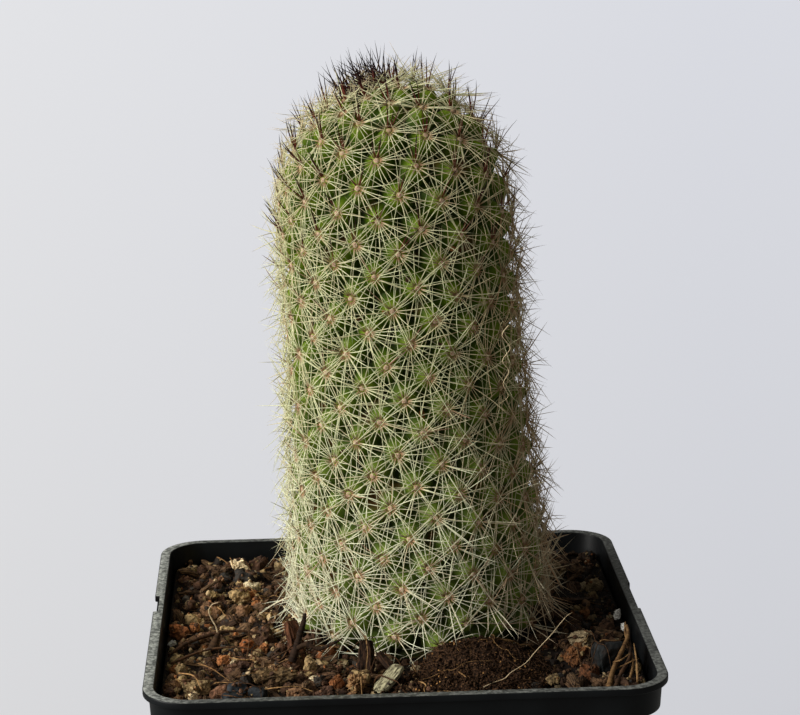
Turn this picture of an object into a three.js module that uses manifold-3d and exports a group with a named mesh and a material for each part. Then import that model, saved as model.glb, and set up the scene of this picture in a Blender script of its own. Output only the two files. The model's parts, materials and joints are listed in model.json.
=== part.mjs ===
// A small columnar pincushion cactus in a square black nursery pot of gritty soil.
// Millimetres, +Z up. The origin is the middle of the pot's underside, and the front of the plant faces -Y.
import * as THREE from "three";
import { mergeVertices } from "three/addons/utils/BufferGeometryUtils.js";
import Module from "manifold-3d";

const wasm = await Module();
wasm.setup();

const TURN = Math.PI * 2;
const DEGREE = Math.PI / 180;

// The pot: a moulded square shell with a flat lip, a short upright collar and tapering walls.
const POT = {
  height: 65,
  lipHalf: 35, // half the width across the lip
  lipThick: 1,
  lipCorner: 6.5,
  collarHalf: 34.2,
  collarCorner: 5.6,
  collarDrop: 4.6, // from the top of the lip to the foot of the collar
  shoulderHalf: 32.4,
  footHalf: 25.4,
  footCorner: 4.6,
  footBevel: 0.6,
  wall: 0.9,
  floor: 1.5,
  mouthHalf: 33.5, // half the clear width between the lips
  mouthCorner: 5.1,
};
const LIP_NOTCHES = [
  { side: -1, depth: 0.65, from: 1.9, to: 8.5 }, // the lip is narrower here on its left
  { side: 1, depth: 0.3, from: -3, to: 8 }, // and here on its right
];
const DRAIN = { radius: 3.6, offset: 14.5 };

// The soil fills the pot to a little under the lip, with coarse grit standing out of it.
const SOIL_TOP = POT.height - 3;
const FIT_GAP = 0.35; // the clearance between pieces that touch
const GRIT = { count: 96, small: 1.3, large: 2.4, flat: 0.85, seed: 11, fromWall: 0.3, spread: 0.85 };

// The plant stands right of the middle and leans to the left.
const STEM = {
  baseX: 3.95,
  baseY: 2.5,
  lean: 0.05, // sideways per millimetre of height
  bendFrom: 55, // height over the soil where the tip turns further to the left
  bend: 0.24,
  height: 76.8,
  shoulder: 57,
  radius: 16.45, // at the tips of the tubercles
  bulge: 1.9,
  bulgeHeight: 10,
  bulgeSpread: 20,
  domePower: 2.8,
};
const NECK = { radius: 14.6, tip: 13.2, depth: 12, end: 14.5, hole: 15.5, sides: 24 };

// Tubercles stand on a spiral lattice with 8, 13 and 21 rows.
const GOLDEN_ANGLE = 137.50776 * DEGREE;
const ROWS = { shallow: 8, middle: 13, steep: 21 };
const TUBERCLE = { area: 23.5, height: 2.7, first: 2.9, lastRadius: 6.5, tip: 0.5, tipDome: 0.28 };
const SPINE = {
  radial: 5.4,
  radialRise: 27 * DEGREE,
  swirl: 15 * DEGREE, // turns each radial spine past the one that comes the other way
  central: 7,
  centralRise: 36 * DEGREE,
  centralFan: 34 * DEGREE, // the centrals of a tubercle all point up the stem, this far to either side
  centralFrom: 50, // height over the soil above which tubercles bear long central spines
  apart: 0.5,
  aboveGround: 0.7,
  seed: 5,
};

const CROWN = { sides: 16, rise: 46, riseSpread: 30, length: 5, share: 0.6, spineHalf: 0.3 };

// Loose things that lie on the soil: place, half sizes and turns, in millimetres and degrees.
const PEAT = {
  inner: 19.3, // distances from the middle of the stem's foot
  outer: 34,
  from: -95, // bearings, in degrees
  to: -52,
  rise: 3.9,
  frontRise: 0.5,
  sink: 0.9,
  fromWall: 1.2,
  seed: 21,
};
const STONE_BEDDING = 0.7; // how high a stone's middle lies over the soil, as a share of its half height
const STONES = [
  { name: "pumice_stone_left", at: [-28, -24.4], half: [2.1, 1.8, 1.5], turn: 20, colour: 0x9a8b62 },
  { name: "pumice_stone_middle", at: [-6.6, -25.6], half: [1.9, 2.3, 1.9], turn: -15, colour: 0xa98a63 },
  { name: "clay_clod", at: [-17.6, -21.8], half: [3.4, 2, 1.7], turn: 8, colour: 0x6b5138 },
  { name: "lava_stone_middle", at: [-10.8, -28.4], half: [1.7, 1.5, 1.3], turn: 50, colour: 0x7a4630 },
  { name: "lava_stone_right", at: [24.2, -16.6], half: [1.8, 1.6, 2.1], turn: 35, colour: 0x6f4431 },
  { name: "pumice_stone_right", at: [25.4, -11.4], half: [1.7, 1.5, 1.2], turn: -30, colour: 0xa79467 },
  { name: "slate_stone_left", at: [-23, -28.6], half: [1.9, 1.3, 1.2], turn: 12, colour: 0x474a4c },
  { name: "pumice_stone_back_left", at: [-22.6, 13.5], half: [2.2, 1.9, 1.5], turn: 70, colour: 0xa58f63 },
  { name: "pumice_stone_back_right", at: [25.2, 20.5], half: [2.3, 1.8, 1.3], turn: 110, colour: 0x9b8a69 },
  { name: "lava_stone_back", at: [3, 27], half: [2, 1.8, 1.5], turn: 10, colour: 0x75402b },
  { name: "charcoal_lump", at: [29, -20.6], half: [2, 2, 2.1], turn: 15, colour: 0x2c2f30 },
];
const CHIPS = [
  { name: "bark_chip_pale", at: [-2.2, -25.8, 1.9], half: [4.1, 1.5, 0.5], turn: 62, tilt: -24, colour: 0xb0a98a },
  { name: "bark_stub_dark", at: [-5, -18.4, 2.1], half: [3, 0.9, 0.8], turn: 80, tilt: -72, colour: 0x3b2a1e },
  { name: "bark_sliver_dark", at: [-1.7, -21.2, 1.9], half: [3, 0.6, 0.5], turn: -48, tilt: 34, colour: 0x42311f },
  { name: "bark_flake_left", at: [-14.6, -11.6, 2.5], half: [3.3, 1.2, 0.6], turn: 122, tilt: -64, colour: 0x4c3120 },
];

/** A repeatable stream of numbers from 0 to 1. */
function seededRandom(seed) {
  let state = seed >>> 0;
  return () => {
    state = (state + 0x6d2b79f5) >>> 0;
    let t = state;
    t = Math.imul(t ^ (t >>> 15), t | 1);
    t ^= t + Math.imul(t ^ (t >>> 7), t | 61);
    return ((t ^ (t >>> 14)) >>> 0) / 4294967296;
  };
}

/** A smooth step from 0 at a to 1 at b. */
function smoothStep(a, b, x) {
  return THREE.MathUtils.smoothstep(x, a, b);
}

/** A geometry from a list of points and a list of triangles of indices into it. */
function meshFrom(points, triangles) {
  const geometry = new THREE.BufferGeometry();
  geometry.setAttribute("position", new THREE.Float32BufferAttribute(points.flat(), 3));
  geometry.setIndex(triangles.flat());
  return geometry;
}

/** The closed solid of a three.js geometry. */
function solidFrom(geometry) {
  const bare = geometry.clone();
  bare.deleteAttribute("normal");
  bare.deleteAttribute("uv");
  const merged = mergeVertices(bare, 1e-4);
  return new wasm.Manifold(
    new wasm.Mesh({
      numProp: 3,
      vertProperties: new Float32Array(merged.attributes.position.array),
      triVerts: new Uint32Array(merged.index.array),
    }),
  );
}

/** The three.js geometry of a closed solid. */
function geometryFrom(solid) {
  const mesh = solid.getMesh();
  const geometry = new THREE.BufferGeometry();
  geometry.setAttribute("position", new THREE.Float32BufferAttribute(mesh.vertProperties, 3));
  geometry.setIndex(new THREE.BufferAttribute(mesh.triVerts, 1));
  return geometry;
}

/** A named piece with a plain finish. */
function piece(name, geometry, colour, roughness) {
  geometry.computeVertexNormals();
  const finish = new THREE.MeshStandardMaterial({ color: colour, roughness, metalness: 0 });
  const mesh = new THREE.Mesh(geometry, finish);
  mesh.name = name;
  return mesh;
}

/** The corners of a square with rounded corners, anticlockwise. */
function roundedSquare(half, corner, steps = 5) {
  const points = [];
  for (let quarter = 0; quarter < 4; quarter++) {
    for (let i = 0; i <= steps; i++) {
      const angle = (quarter + i / steps) * (TURN / 4);
      const centre = half - corner;
      const sx = quarter === 0 || quarter === 3 ? 1 : -1;
      const sy = quarter < 2 ? 1 : -1;
      points.push([sx * centre + corner * Math.cos(angle), sy * centre + corner * Math.sin(angle)]);
    }
  }
  return points;
}

/** A closed skin through rings of points with the same count, capped at its first and last ring. */
function loft(rings) {
  const count = rings[0].length;
  const points = rings.flat();
  const triangles = [];
  for (let r = 0; r + 1 < rings.length; r++) {
    for (let i = 0; i < count; i++) {
      const a = r * count + i;
      const b = r * count + ((i + 1) % count);
      triangles.push([a, b, b + count], [a, b + count, a + count]);
    }
  }
  const middle = (ring) => [0, 1, 2].map((k) => ring.reduce((sum, p) => sum + p[k], 0) / count);
  const last = (rings.length - 1) * count;
  points.push(middle(rings[0]), middle(rings[rings.length - 1]));
  for (let i = 0; i < count; i++) {
    const j = (i + 1) % count;
    triangles.push([points.length - 2, j, i], [points.length - 1, last + i, last + j]);
  }
  return meshFrom(points, triangles);
}

/** A level ring of a rounded square. */
function squareRing(half, corner, z) {
  return roundedSquare(half, corner).map(([x, y]) => [x, y, z]);
}

/** Half the clear width and the corner radius inside the tapering wall at a height. */
function insideOfWall(z) {
  const share = z / (POT.height - POT.collarDrop);
  return {
    half: THREE.MathUtils.lerp(POT.footHalf, POT.shoulderHalf, share) - POT.wall,
    corner: THREE.MathUtils.lerp(POT.footCorner, POT.collarCorner, share) - POT.wall,
  };
}

/** The pot: one moulded shell with notches in the lip and holes in the floor. */
function makePot() {
  const collarFoot = POT.height - POT.collarDrop;
  const floorIn = insideOfWall(POT.floor);
  const shoulderIn = insideOfWall(collarFoot - POT.wall);
  const shell = loft([
    squareRing(POT.footHalf - POT.footBevel, POT.footCorner - POT.footBevel, 0),
    squareRing(POT.footHalf, POT.footCorner, POT.footBevel),
    squareRing(POT.shoulderHalf, POT.collarCorner, collarFoot - 0.6),
    squareRing(POT.collarHalf - 0.2, POT.collarCorner, collarFoot),
    squareRing(POT.collarHalf, POT.collarCorner, POT.height - POT.lipThick),
    squareRing(POT.lipHalf, POT.lipCorner, POT.height - POT.lipThick + 0.15),
    squareRing(POT.lipHalf, POT.lipCorner, POT.height - 0.25),
    squareRing(POT.lipHalf - 0.25, POT.lipCorner - 0.25, POT.height),
    squareRing(POT.mouthHalf, POT.mouthCorner, POT.height),
    squareRing(POT.mouthHalf - 0.3, POT.mouthCorner, collarFoot - 0.1),
    squareRing(shoulderIn.half, shoulderIn.corner, collarFoot - POT.wall),
    squareRing(floorIn.half, floorIn.corner, POT.floor),
  ]);
  let solid = solidFrom(shell);
  for (const { side, depth, from, to } of LIP_NOTCHES) {
    const cut = new THREE.BoxGeometry(4, to - from, 4);
    cut.translate(side * (POT.lipHalf - depth + 2), (from + to) / 2, POT.height);
    solid = solid.subtract(solidFrom(cut));
  }
  const places = [[0, 0]];
  for (const x of [-1, 1]) for (const y of [-1, 1]) places.push([x * DRAIN.offset, y * DRAIN.offset]);
  for (const [x, y] of places) {
    const hole = new THREE.CylinderGeometry(DRAIN.radius, DRAIN.radius, 4 * POT.floor, 20);
    hole.rotateX(TURN / 4);
    hole.translate(x, y, 0);
    solid = solid.subtract(solidFrom(hole));
  }
  return piece("pot", geometryFrom(solid), 0x17191b, 0.55);
}

/** The tubercle-tip radius of the stem at a height over the soil. */
function stemRadius(s) {
  const swell = STEM.bulge * Math.exp(-(((s - STEM.bulgeHeight) / STEM.bulgeSpread) ** 2));
  const t = Math.max(0, (s - STEM.shoulder) / (STEM.height - STEM.shoulder));
  return (STEM.radius + swell) * Math.sqrt(Math.max(0, 1 - t ** STEM.domePower));
}

/** The stem's centre line at a height over the soil, with the tilt of its cross-section. */
function stemCentre(s) {
  const over = Math.max(0, s - STEM.bendFrom);
  const reach = STEM.height - STEM.bendFrom;
  return {
    x: STEM.baseX - STEM.lean * s - (STEM.bend * over * over) / (2 * reach),
    tilt: Math.atan(STEM.lean + (STEM.bend * over) / reach),
  };
}

/** A point at a radius from the leaning centre line. */
function stemPoint(s, radius, azimuth) {
  const centre = stemCentre(s);
  const across = radius * Math.cos(azimuth);
  return new THREE.Vector3(
    centre.x + across * Math.cos(centre.tilt),
    STEM.baseY + radius * Math.sin(azimuth),
    SOIL_TOP + s + across * Math.sin(centre.tilt),
  );
}

/** The size of a tubercle at a height, as a share of a full-grown one. */
function tubercleSize(s) {
  return Math.min(1, stemRadius(s) / STEM.radius);
}

/** Heights of the tubercles, counted from the lowest, closer together towards the crown. */
function tubercleHeights() {
  const heights = [];
  const extra = 2 * ROWS.steep;
  let s = TUBERCLE.first;
  let last = 0;
  while (last === 0 || heights.length < last + extra) {
    const radius = stemRadius(s);
    heights.push(s);
    if (last === 0 && radius < TUBERCLE.lastRadius) last = heights.length;
    const slope = (stemRadius(s + 0.01) - radius) / 0.01;
    const step = (TUBERCLE.area * tubercleSize(s) ** 2) / (TURN * radius);
    s += step / Math.hypot(1, slope);
  }
  return { heights, count: last };
}

/** The height over the soil at a place on the lattice, which may lie between two tubercles. */
function heightAt(heights, place) {
  if (place < 0) return heights[0] + place * (heights[1] - heights[0]);
  const low = Math.floor(place);
  return THREE.MathUtils.lerp(heights[low], heights[low + 1], place - low);
}

/** A point on the stem by its place on the lattice, sunk below the tubercle tips. */
function latticePoint(heights, place, azimuth, sunk) {
  const s = heightAt(heights, place);
  const radius = stemRadius(s);
  const slope = (stemRadius(s + 0.01) - stemRadius(s - 0.01)) / 0.02;
  const long = Math.hypot(1, slope);
  const depth = sunk * tubercleSize(s);
  return stemPoint(s + (slope / long) * depth, radius - depth / long, azimuth);
}

/** The ground's height near a point, with an allowance for the grit, the bark and the mound of peat. */
function groundHeight(x, y) {
  const { radius, angle } = aroundStem(x, y);
  const inArc = smoothStep(PEAT.from - 14, PEAT.from - 4, angle) * (1 - smoothStep(PEAT.to + 4, PEAT.to + 14, angle));
  const nearStem = radius < PEAT.outer ? 1 : 0;
  return SOIL_TOP + GRIT.small * 1.6 + inArc * nearStem * (PEAT.rise - GRIT.small * 0.9);
}

/** A place on the soil as a distance and an angle in degrees round the foot of the stem. */
function aroundStem(x, y) {
  const dx = x - STEM.baseX;
  const dy = y - STEM.baseY;
  return { radius: Math.hypot(dx, dy), angle: Math.atan2(dy, dx) / DEGREE };
}

/** The shortest distance between two straight stretches. */
function stretchDistance(p, q) {
  const d1 = q[0].clone().sub(p[0]);
  const u = p[1].clone().sub(p[0]);
  const v = q[1].clone().sub(q[0]);
  const a = u.dot(u);
  const b = u.dot(v);
  const c = v.dot(v);
  const d = u.dot(d1);
  const e = v.dot(d1);
  const clamp = (x) => Math.min(1, Math.max(0, x));
  let s = clamp((d * c - b * e) / Math.max(a * c - b * b, 1e-9));
  const t = clamp((b * s - e) / c);
  s = clamp((b * t + d) / a);
  return p[0].clone().addScaledVector(u, s).distanceTo(q[0].clone().addScaledVector(v, t));
}

/** Spines that have been placed, so that a new one can be turned clear of them. */
class SpineBed {
  constructor() {
    this.spines = [];
  }

  /** Whether a stretch stays clear of the ground and of the spines of other tubercles. */
  isClear(owner, stretch) {
    for (const share of [0.5, 1]) {
      const p = stretch[0].clone().lerp(stretch[1], share);
      if (p.z < groundHeight(p.x, p.y) + SPINE.aboveGround) return false;
    }
    return this.spines.every(
      (other) =>
        other.owner === owner ||
        other.stretch[0].distanceTo(stretch[0]) > 2 * SPINE.central ||
        stretchDistance(stretch, other.stretch) > SPINE.apart,
    );
  }

  add(owner, stretch) {
    this.spines.push({ owner, stretch });
  }
}

/** The tip of a spine that leaves a tubercle, turned and lifted until it is clear of the others. */
function spineTip(bed, owner, root, frame, wanted) {
  const turns = [0, 5, -5, 10, -10, 16, -16];
  const lifts = [0, 6, -5, 12, 20, 30, 42, 56];
  for (const size of [1, 0.85, 0.7]) {
    for (const lift of lifts) {
      for (const turn of turns) {
        const azimuth = wanted.azimuth + turn * DEGREE;
        const rise = Math.min(wanted.rise + lift * DEGREE, 84 * DEGREE);
        const along = frame.right
          .clone()
          .multiplyScalar(Math.cos(azimuth))
          .addScaledVector(frame.up, Math.sin(azimuth))
          .multiplyScalar(Math.cos(rise))
          .addScaledVector(frame.out, Math.sin(rise));
        const tip = root.clone().addScaledVector(along, wanted.length * size);
        const stretch = [root.clone().addScaledVector(along, TUBERCLE.tip), tip];
        if (bed.isClear(owner, stretch)) {
          bed.add(owner, stretch);
          return tip;
        }
      }
    }
  }
  return null;
}

/** The closed loops of edges that only one triangle uses. */
function openLoops(triangles) {
  const next = new Map();
  const used = new Set();
  for (const [a, b, c] of triangles) {
    for (const [i, j] of [[a, b], [b, c], [c, a]]) used.add(`${i},${j}`);
  }
  for (const key of used) {
    const [i, j] = key.split(",").map(Number);
    if (!used.has(`${j},${i}`)) next.set(j, i);
  }
  const loops = [];
  while (next.size) {
    const loop = [];
    let at = next.keys().next().value;
    while (next.has(at)) {
      loop.push(at);
      const after = next.get(at);
      next.delete(at);
      at = after;
    }
    loops.push(loop);
  }
  return loops;
}

/** The plant: one grown stem whose tubercles and spines are raised from its surface. */
function makeCactus() {
  const { heights, count } = tubercleHeights();
  const random = seededRandom(SPINE.seed);
  const points = [];
  const triangles = [];
  const valleys = new Map();
  const azimuthOf = (place) => -place * GOLDEN_ANGLE;

  // A valley lies between three tubercles: m, m + steep and one of the two that are beside them.
  const valley = (m, side) => {
    const key = `${m},${side}`;
    if (!valleys.has(key)) {
      const steps = side === "right" ? [0, ROWS.middle, ROWS.steep] : [0, ROWS.steep, ROWS.shallow];
      const turns = steps.map((k) => {
        const turn = -k * GOLDEN_ANGLE;
        return turn - Math.round(turn / TURN) * TURN;
      });
      const place = m + (steps[0] + steps[1] + steps[2]) / 3;
      const azimuth = azimuthOf(m) + (turns[0] + turns[1] + turns[2]) / 3;
      valleys.set(key, points.length);
      points.push(latticePoint(heights, place, azimuth, TUBERCLE.height));
    }
    return valleys.get(key);
  };

  const bed = new SpineBed();
  for (let n = 0; n < count; n++) {
    const azimuth = azimuthOf(n);
    const root = latticePoint(heights, n, azimuth, 0);
    const size = tubercleSize(heights[n]);
    const foot = latticePoint(heights, n, azimuth, 1);
    const out = root.clone().sub(foot).normalize();
    const right = new THREE.Vector3(-Math.sin(azimuth), Math.cos(azimuth), 0);
    right.addScaledVector(out, -right.dot(out)).normalize();
    const frame = { out, right, up: out.clone().cross(right) };
    const around = [
      valley(n, "right"),
      valley(n, "left"),
      valley(n - ROWS.middle, "right"),
      valley(n - ROWS.steep, "left"),
      valley(n - ROWS.steep, "right"),
      valley(n - ROWS.shallow, "left"),
    ];
    const bearings = around.map((index) => {
      const d = points[index].clone().sub(root);
      return Math.atan2(d.dot(frame.up), d.dot(frame.right));
    });
    const reach = TUBERCLE.tip * (0.35 + 0.65 * size);
    const ring = bearings.map((bearing) => {
      points.push(
        root
          .clone()
          .addScaledVector(frame.right, reach * Math.cos(bearing))
          .addScaledVector(frame.up, reach * Math.sin(bearing))
          .addScaledVector(frame.out, -TUBERCLE.tipDome * size),
      );
      return points.length - 1;
    });
    points.push(root);
    const middle = points.length - 1;
    const bearsCentrals = heights[n] > SPINE.centralFrom;
    for (let i = 0; i < 6; i++) {
      const j = (i + 1) % 6;
      triangles.push([ring[i], around[i], around[j]], [ring[i], around[j], ring[j]]);
      let half = bearings[j] - bearings[i];
      half -= Math.floor(half / TURN) * TURN;
      const bearing = bearings[i] + half / 2;
      const central = bearsCentrals && Math.sin(bearing) > 0.5;
      const upward = TURN / 4 - Math.sign(Math.cos(bearing)) * SPINE.centralFan;
      const wanted = {
        azimuth: (central ? upward : bearing + SPINE.swirl) + (random() - 0.5) * 0.12,
        rise: (central ? SPINE.centralRise : SPINE.radialRise) + (random() - 0.5) * 0.16,
        length: (central ? SPINE.central : SPINE.radial) * (0.93 + 0.14 * random()) * (0.6 + 0.4 * size),
      };
      const tip = spineTip(bed, n, root, frame, wanted);
      if (tip === null) {
        triangles.push([middle, ring[i], ring[j]]);
        continue;
      }
      points.push(tip);
      const end = points.length - 1;
      triangles.push([middle, ring[i], end], [ring[i], ring[j], end], [ring[j], middle, end]);
    }
  }

  const loops = openLoops(triangles);
  loops.sort((a, b) => points[a[0]].z - points[b[0]].z);
  closeNeck(points, triangles, loops[0]);
  closeCrown(points, triangles, loops[loops.length - 1], bed);
  return piece("cactus", meshFrom(points.map((p) => p.toArray()), triangles), 0x5f7d3a, 0.6);
}

/** Joins an open loop to a ring of fewer new points, and returns that ring. */
function ringOn(points, triangles, loop, count, place) {
  const ownerOf = (i) => Math.floor(((i % loop.length) * count) / loop.length);
  const ring = [];
  for (let k = 0; k < count; k++) {
    const from = points[loop[Math.floor(((k + 0.5) * loop.length) / count)]];
    ring.push(points.push(place(from)) - 1);
  }
  loop.forEach((a, i) => {
    const b = loop[(i + 1) % loop.length];
    const here = ring[ownerOf(i)];
    const next = ring[ownerOf(i + 1)];
    triangles.push([a, b, here]);
    if (next !== here) triangles.push([b, next, here]);
  });
  return ring;
}

/** The triangles that close a loop on a point. */
function fanOf(points, loop, tip) {
  const middle = points.push(tip) - 1;
  return loop.map((a, i) => [a, loop[(i + 1) % loop.length], middle]);
}

/** The smooth buried foot of the stem, which stands in a plain hole in the soil. */
function closeNeck(points, triangles, loop) {
  const bearing = (p) => Math.atan2(p.y - STEM.baseY, p.x - STEM.baseX);
  const level = (radius, drop) => (p) =>
    new THREE.Vector3(
      STEM.baseX + radius * Math.cos(bearing(p)),
      STEM.baseY + radius * Math.sin(bearing(p)),
      SOIL_TOP - drop,
    );
  let ring = ringOn(points, triangles, loop, NECK.sides, level(NECK.radius, 0.6));
  ring = ringOn(points, triangles, ring, NECK.sides, level(NECK.tip, NECK.depth));
  ring = ringOn(points, triangles, ring, NECK.sides, level(NECK.tip * 0.7, NECK.end));
  triangles.push(...fanOf(points, ring, new THREE.Vector3(STEM.baseX, STEM.baseY, SOIL_TOP - NECK.end)));
}

/** The crown: a low woolly cap that bears a tuft of young spines. */
function closeCrown(points, triangles, loop, bed) {
  const apex = stemPoint(STEM.height, 0, 0);
  const tilt = stemCentre(STEM.height).tilt;
  const frame = {
    out: new THREE.Vector3(-Math.sin(tilt), 0, Math.cos(tilt)),
    right: new THREE.Vector3(Math.cos(tilt), 0, Math.sin(tilt)),
    up: new THREE.Vector3(0, 1, 0),
  };
  const inward = (share, lift) => (p) => {
    const level = p.clone().lerp(apex, share);
    return level.addScaledVector(frame.out, lift * (apex.clone().sub(p).dot(frame.out)));
  };
  const skin = [];
  const rim = ringOn(points, skin, loop, CROWN.sides, inward(0.3, 0.35));
  const collar = ringOn(points, skin, rim, CROWN.sides / 2, inward(0.5, 0.3));
  skin.push(...fanOf(points, collar, apex));
  const random = seededRandom(SPINE.seed + 1);
  skin.forEach(([a, b, c], i) => {
    const root = points[a].clone().add(points[b]).add(points[c]).multiplyScalar(1 / 3);
    const d = root.clone().sub(apex);
    const wanted = {
      azimuth: Math.atan2(d.dot(frame.up), d.dot(frame.right)) + random() - 0.5,
      rise: (CROWN.rise + CROWN.riseSpread * random()) * DEGREE,
      length: CROWN.length * (0.8 + 0.4 * random()),
    };
    const inside = i >= loop.length && (i * 5) % 7 < CROWN.share * 7;
    const tip = inside ? spineTip(bed, -1 - i, root, frame, wanted) : null;
    if (tip === null) {
      triangles.push([a, b, c]);
      return;
    }
    const [p, q, r] = [a, b, c].map((index) => {
      const side = points[index].clone().sub(root);
      return points.push(root.clone().addScaledVector(side, CROWN.spineHalf / side.length())) - 1;
    });
    const end = points.push(tip) - 1;
    triangles.push([a, b, q], [a, q, p], [b, c, r], [b, r, q], [c, a, p], [c, p, r]);
    triangles.push([p, q, end], [q, r, end], [r, p, end]);
  });
}

/** A rough stone: a faceted ball, squashed, jittered, turned and set in place. */
function stoneGeometry(half, turn, at, random, detail = 0) {
  const ball = new THREE.IcosahedronGeometry(1, detail);
  ball.deleteAttribute("normal");
  ball.deleteAttribute("uv");
  const stone = mergeVertices(ball, 1e-4);
  const position = stone.getAttribute("position");
  for (let i = 0; i < position.count; i++) {
    const swell = 0.86 + 0.28 * random();
    position.setXYZ(
      i,
      position.getX(i) * swell * half[0],
      position.getY(i) * swell * half[1],
      position.getZ(i) * swell * half[2],
    );
  }
  stone.rotateZ(turn * DEGREE);
  stone.translate(...at);
  return stone;
}

/** A larger loose stone, bedded a little into the soil, or its seat when it is grown all round. */
function looseStone(stone, seed, grow) {
  const half = stone.half.map((length) => length + grow * 1.3);
  const at = [stone.at[0], stone.at[1], SOIL_TOP + stone.half[2] * STONE_BEDDING];
  return stoneGeometry(half, stone.turn, at, seededRandom(seed), 1);
}

/** A piece of bark, or its seat when it is grown: a thin bar with broken ends, turned and tilted. */
function barkChip(chip, seed, grow) {
  const random = seededRandom(seed);
  const [length, width, thick] = chip.half.map((size) => size + grow * 1.3);
  const section = [[-1, -1], [1, -1], [1.08, 0.1], [0.9, 1], [-0.9, 1], [-1.1, 0]];
  const rings = [-1, -0.62, 0, 0.58, 1].map((share) => {
    const taper = 1 - 0.4 * Math.abs(share) ** 3;
    return section.map(([y, z]) => [
      share * length + (random() - 0.5) * 0.3 * chip.half[1],
      y * width * taper * (0.92 + 0.16 * random()),
      z * thick * taper * (0.92 + 0.16 * random()),
    ]);
  });
  const bar = loft(rings);
  bar.rotateY(chip.tilt * DEGREE);
  bar.rotateZ(chip.turn * DEGREE);
  bar.translate(chip.at[0], chip.at[1], SOIL_TOP + chip.at[2]);
  return bar;
}

/** The mound of old peat in front of the stem, or its seat: a crescent that is highest beside the stem. */
function peatMound(grow) {
  const random = seededRandom(PEAT.seed);
  const across = 6;
  const along = 14;
  const turnOut = (grow / PEAT.inner / DEGREE) * 1.3;
  const limit = POT.mouthHalf - PEAT.fromWall + grow;
  const top = [];
  const under = [];
  for (let i = 0; i <= along; i++) {
    const share = i / along;
    const angle = THREE.MathUtils.lerp(PEAT.from - turnOut, PEAT.to + turnOut, share) * DEGREE;
    const ends = Math.sin(share * Math.PI) ** 0.5;
    const outer = THREE.MathUtils.lerp(PEAT.inner, PEAT.outer, 0.45 + 0.55 * ends) + grow;
    for (let j = 0; j <= across; j++) {
      const out = j / across;
      const radius = THREE.MathUtils.lerp(PEAT.inner - grow, outer, out);
      const x = Math.min(limit, STEM.baseX + radius * Math.cos(angle));
      const y = Math.max(-limit, STEM.baseY + radius * Math.sin(angle));
      const fall = THREE.MathUtils.lerp(PEAT.rise, PEAT.frontRise, out ** 0.85);
      const rough = i % along === 0 || j % across === 0 ? 0 : (random() - 0.5) * 0.7;
      top.push([x, y, SOIL_TOP + 0.2 + fall * ends + rough + 3 * grow]);
      under.push([x, y, SOIL_TOP - PEAT.sink - grow]);
    }
  }
  const row = across + 1;
  const points = [...top, ...under];
  const triangles = [];
  const quad = (a, b, c, d) => triangles.push([a, b, c], [a, c, d]);
  for (let i = 0; i < along; i++) {
    for (let j = 0; j < across; j++) {
      const a = i * row + j;
      quad(a, a + 1, a + 1 + row, a + row);
      quad(top.length + a, top.length + a + row, top.length + a + 1 + row, top.length + a + 1);
    }
  }
  const edge = [];
  for (let j = 0; j < across; j++) edge.push(j);
  for (let i = 0; i < along; i++) edge.push(i * row + across);
  for (let j = across; j > 0; j--) edge.push(along * row + j);
  for (let i = along; i > 0; i--) edge.push(i * row);
  edge.forEach((a, i) => {
    const b = edge[(i + 1) % edge.length];
    quad(b, a, top.length + a, top.length + b);
  });
  return meshFrom(points, triangles);
}

/** Everything that lies on the soil, each with its shape as a function of how far it is grown. */
function loosePieces() {
  return [
    { name: "peat_clump", colour: 0x3a261a, shape: peatMound },
    ...STONES.map((stone, i) => ({ ...stone, shape: (grow) => looseStone(stone, 100 + i, grow) })),
    ...CHIPS.map((chip, i) => ({ ...chip, shape: (grow) => barkChip(chip, 200 + i, grow) })),
  ];
}

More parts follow.
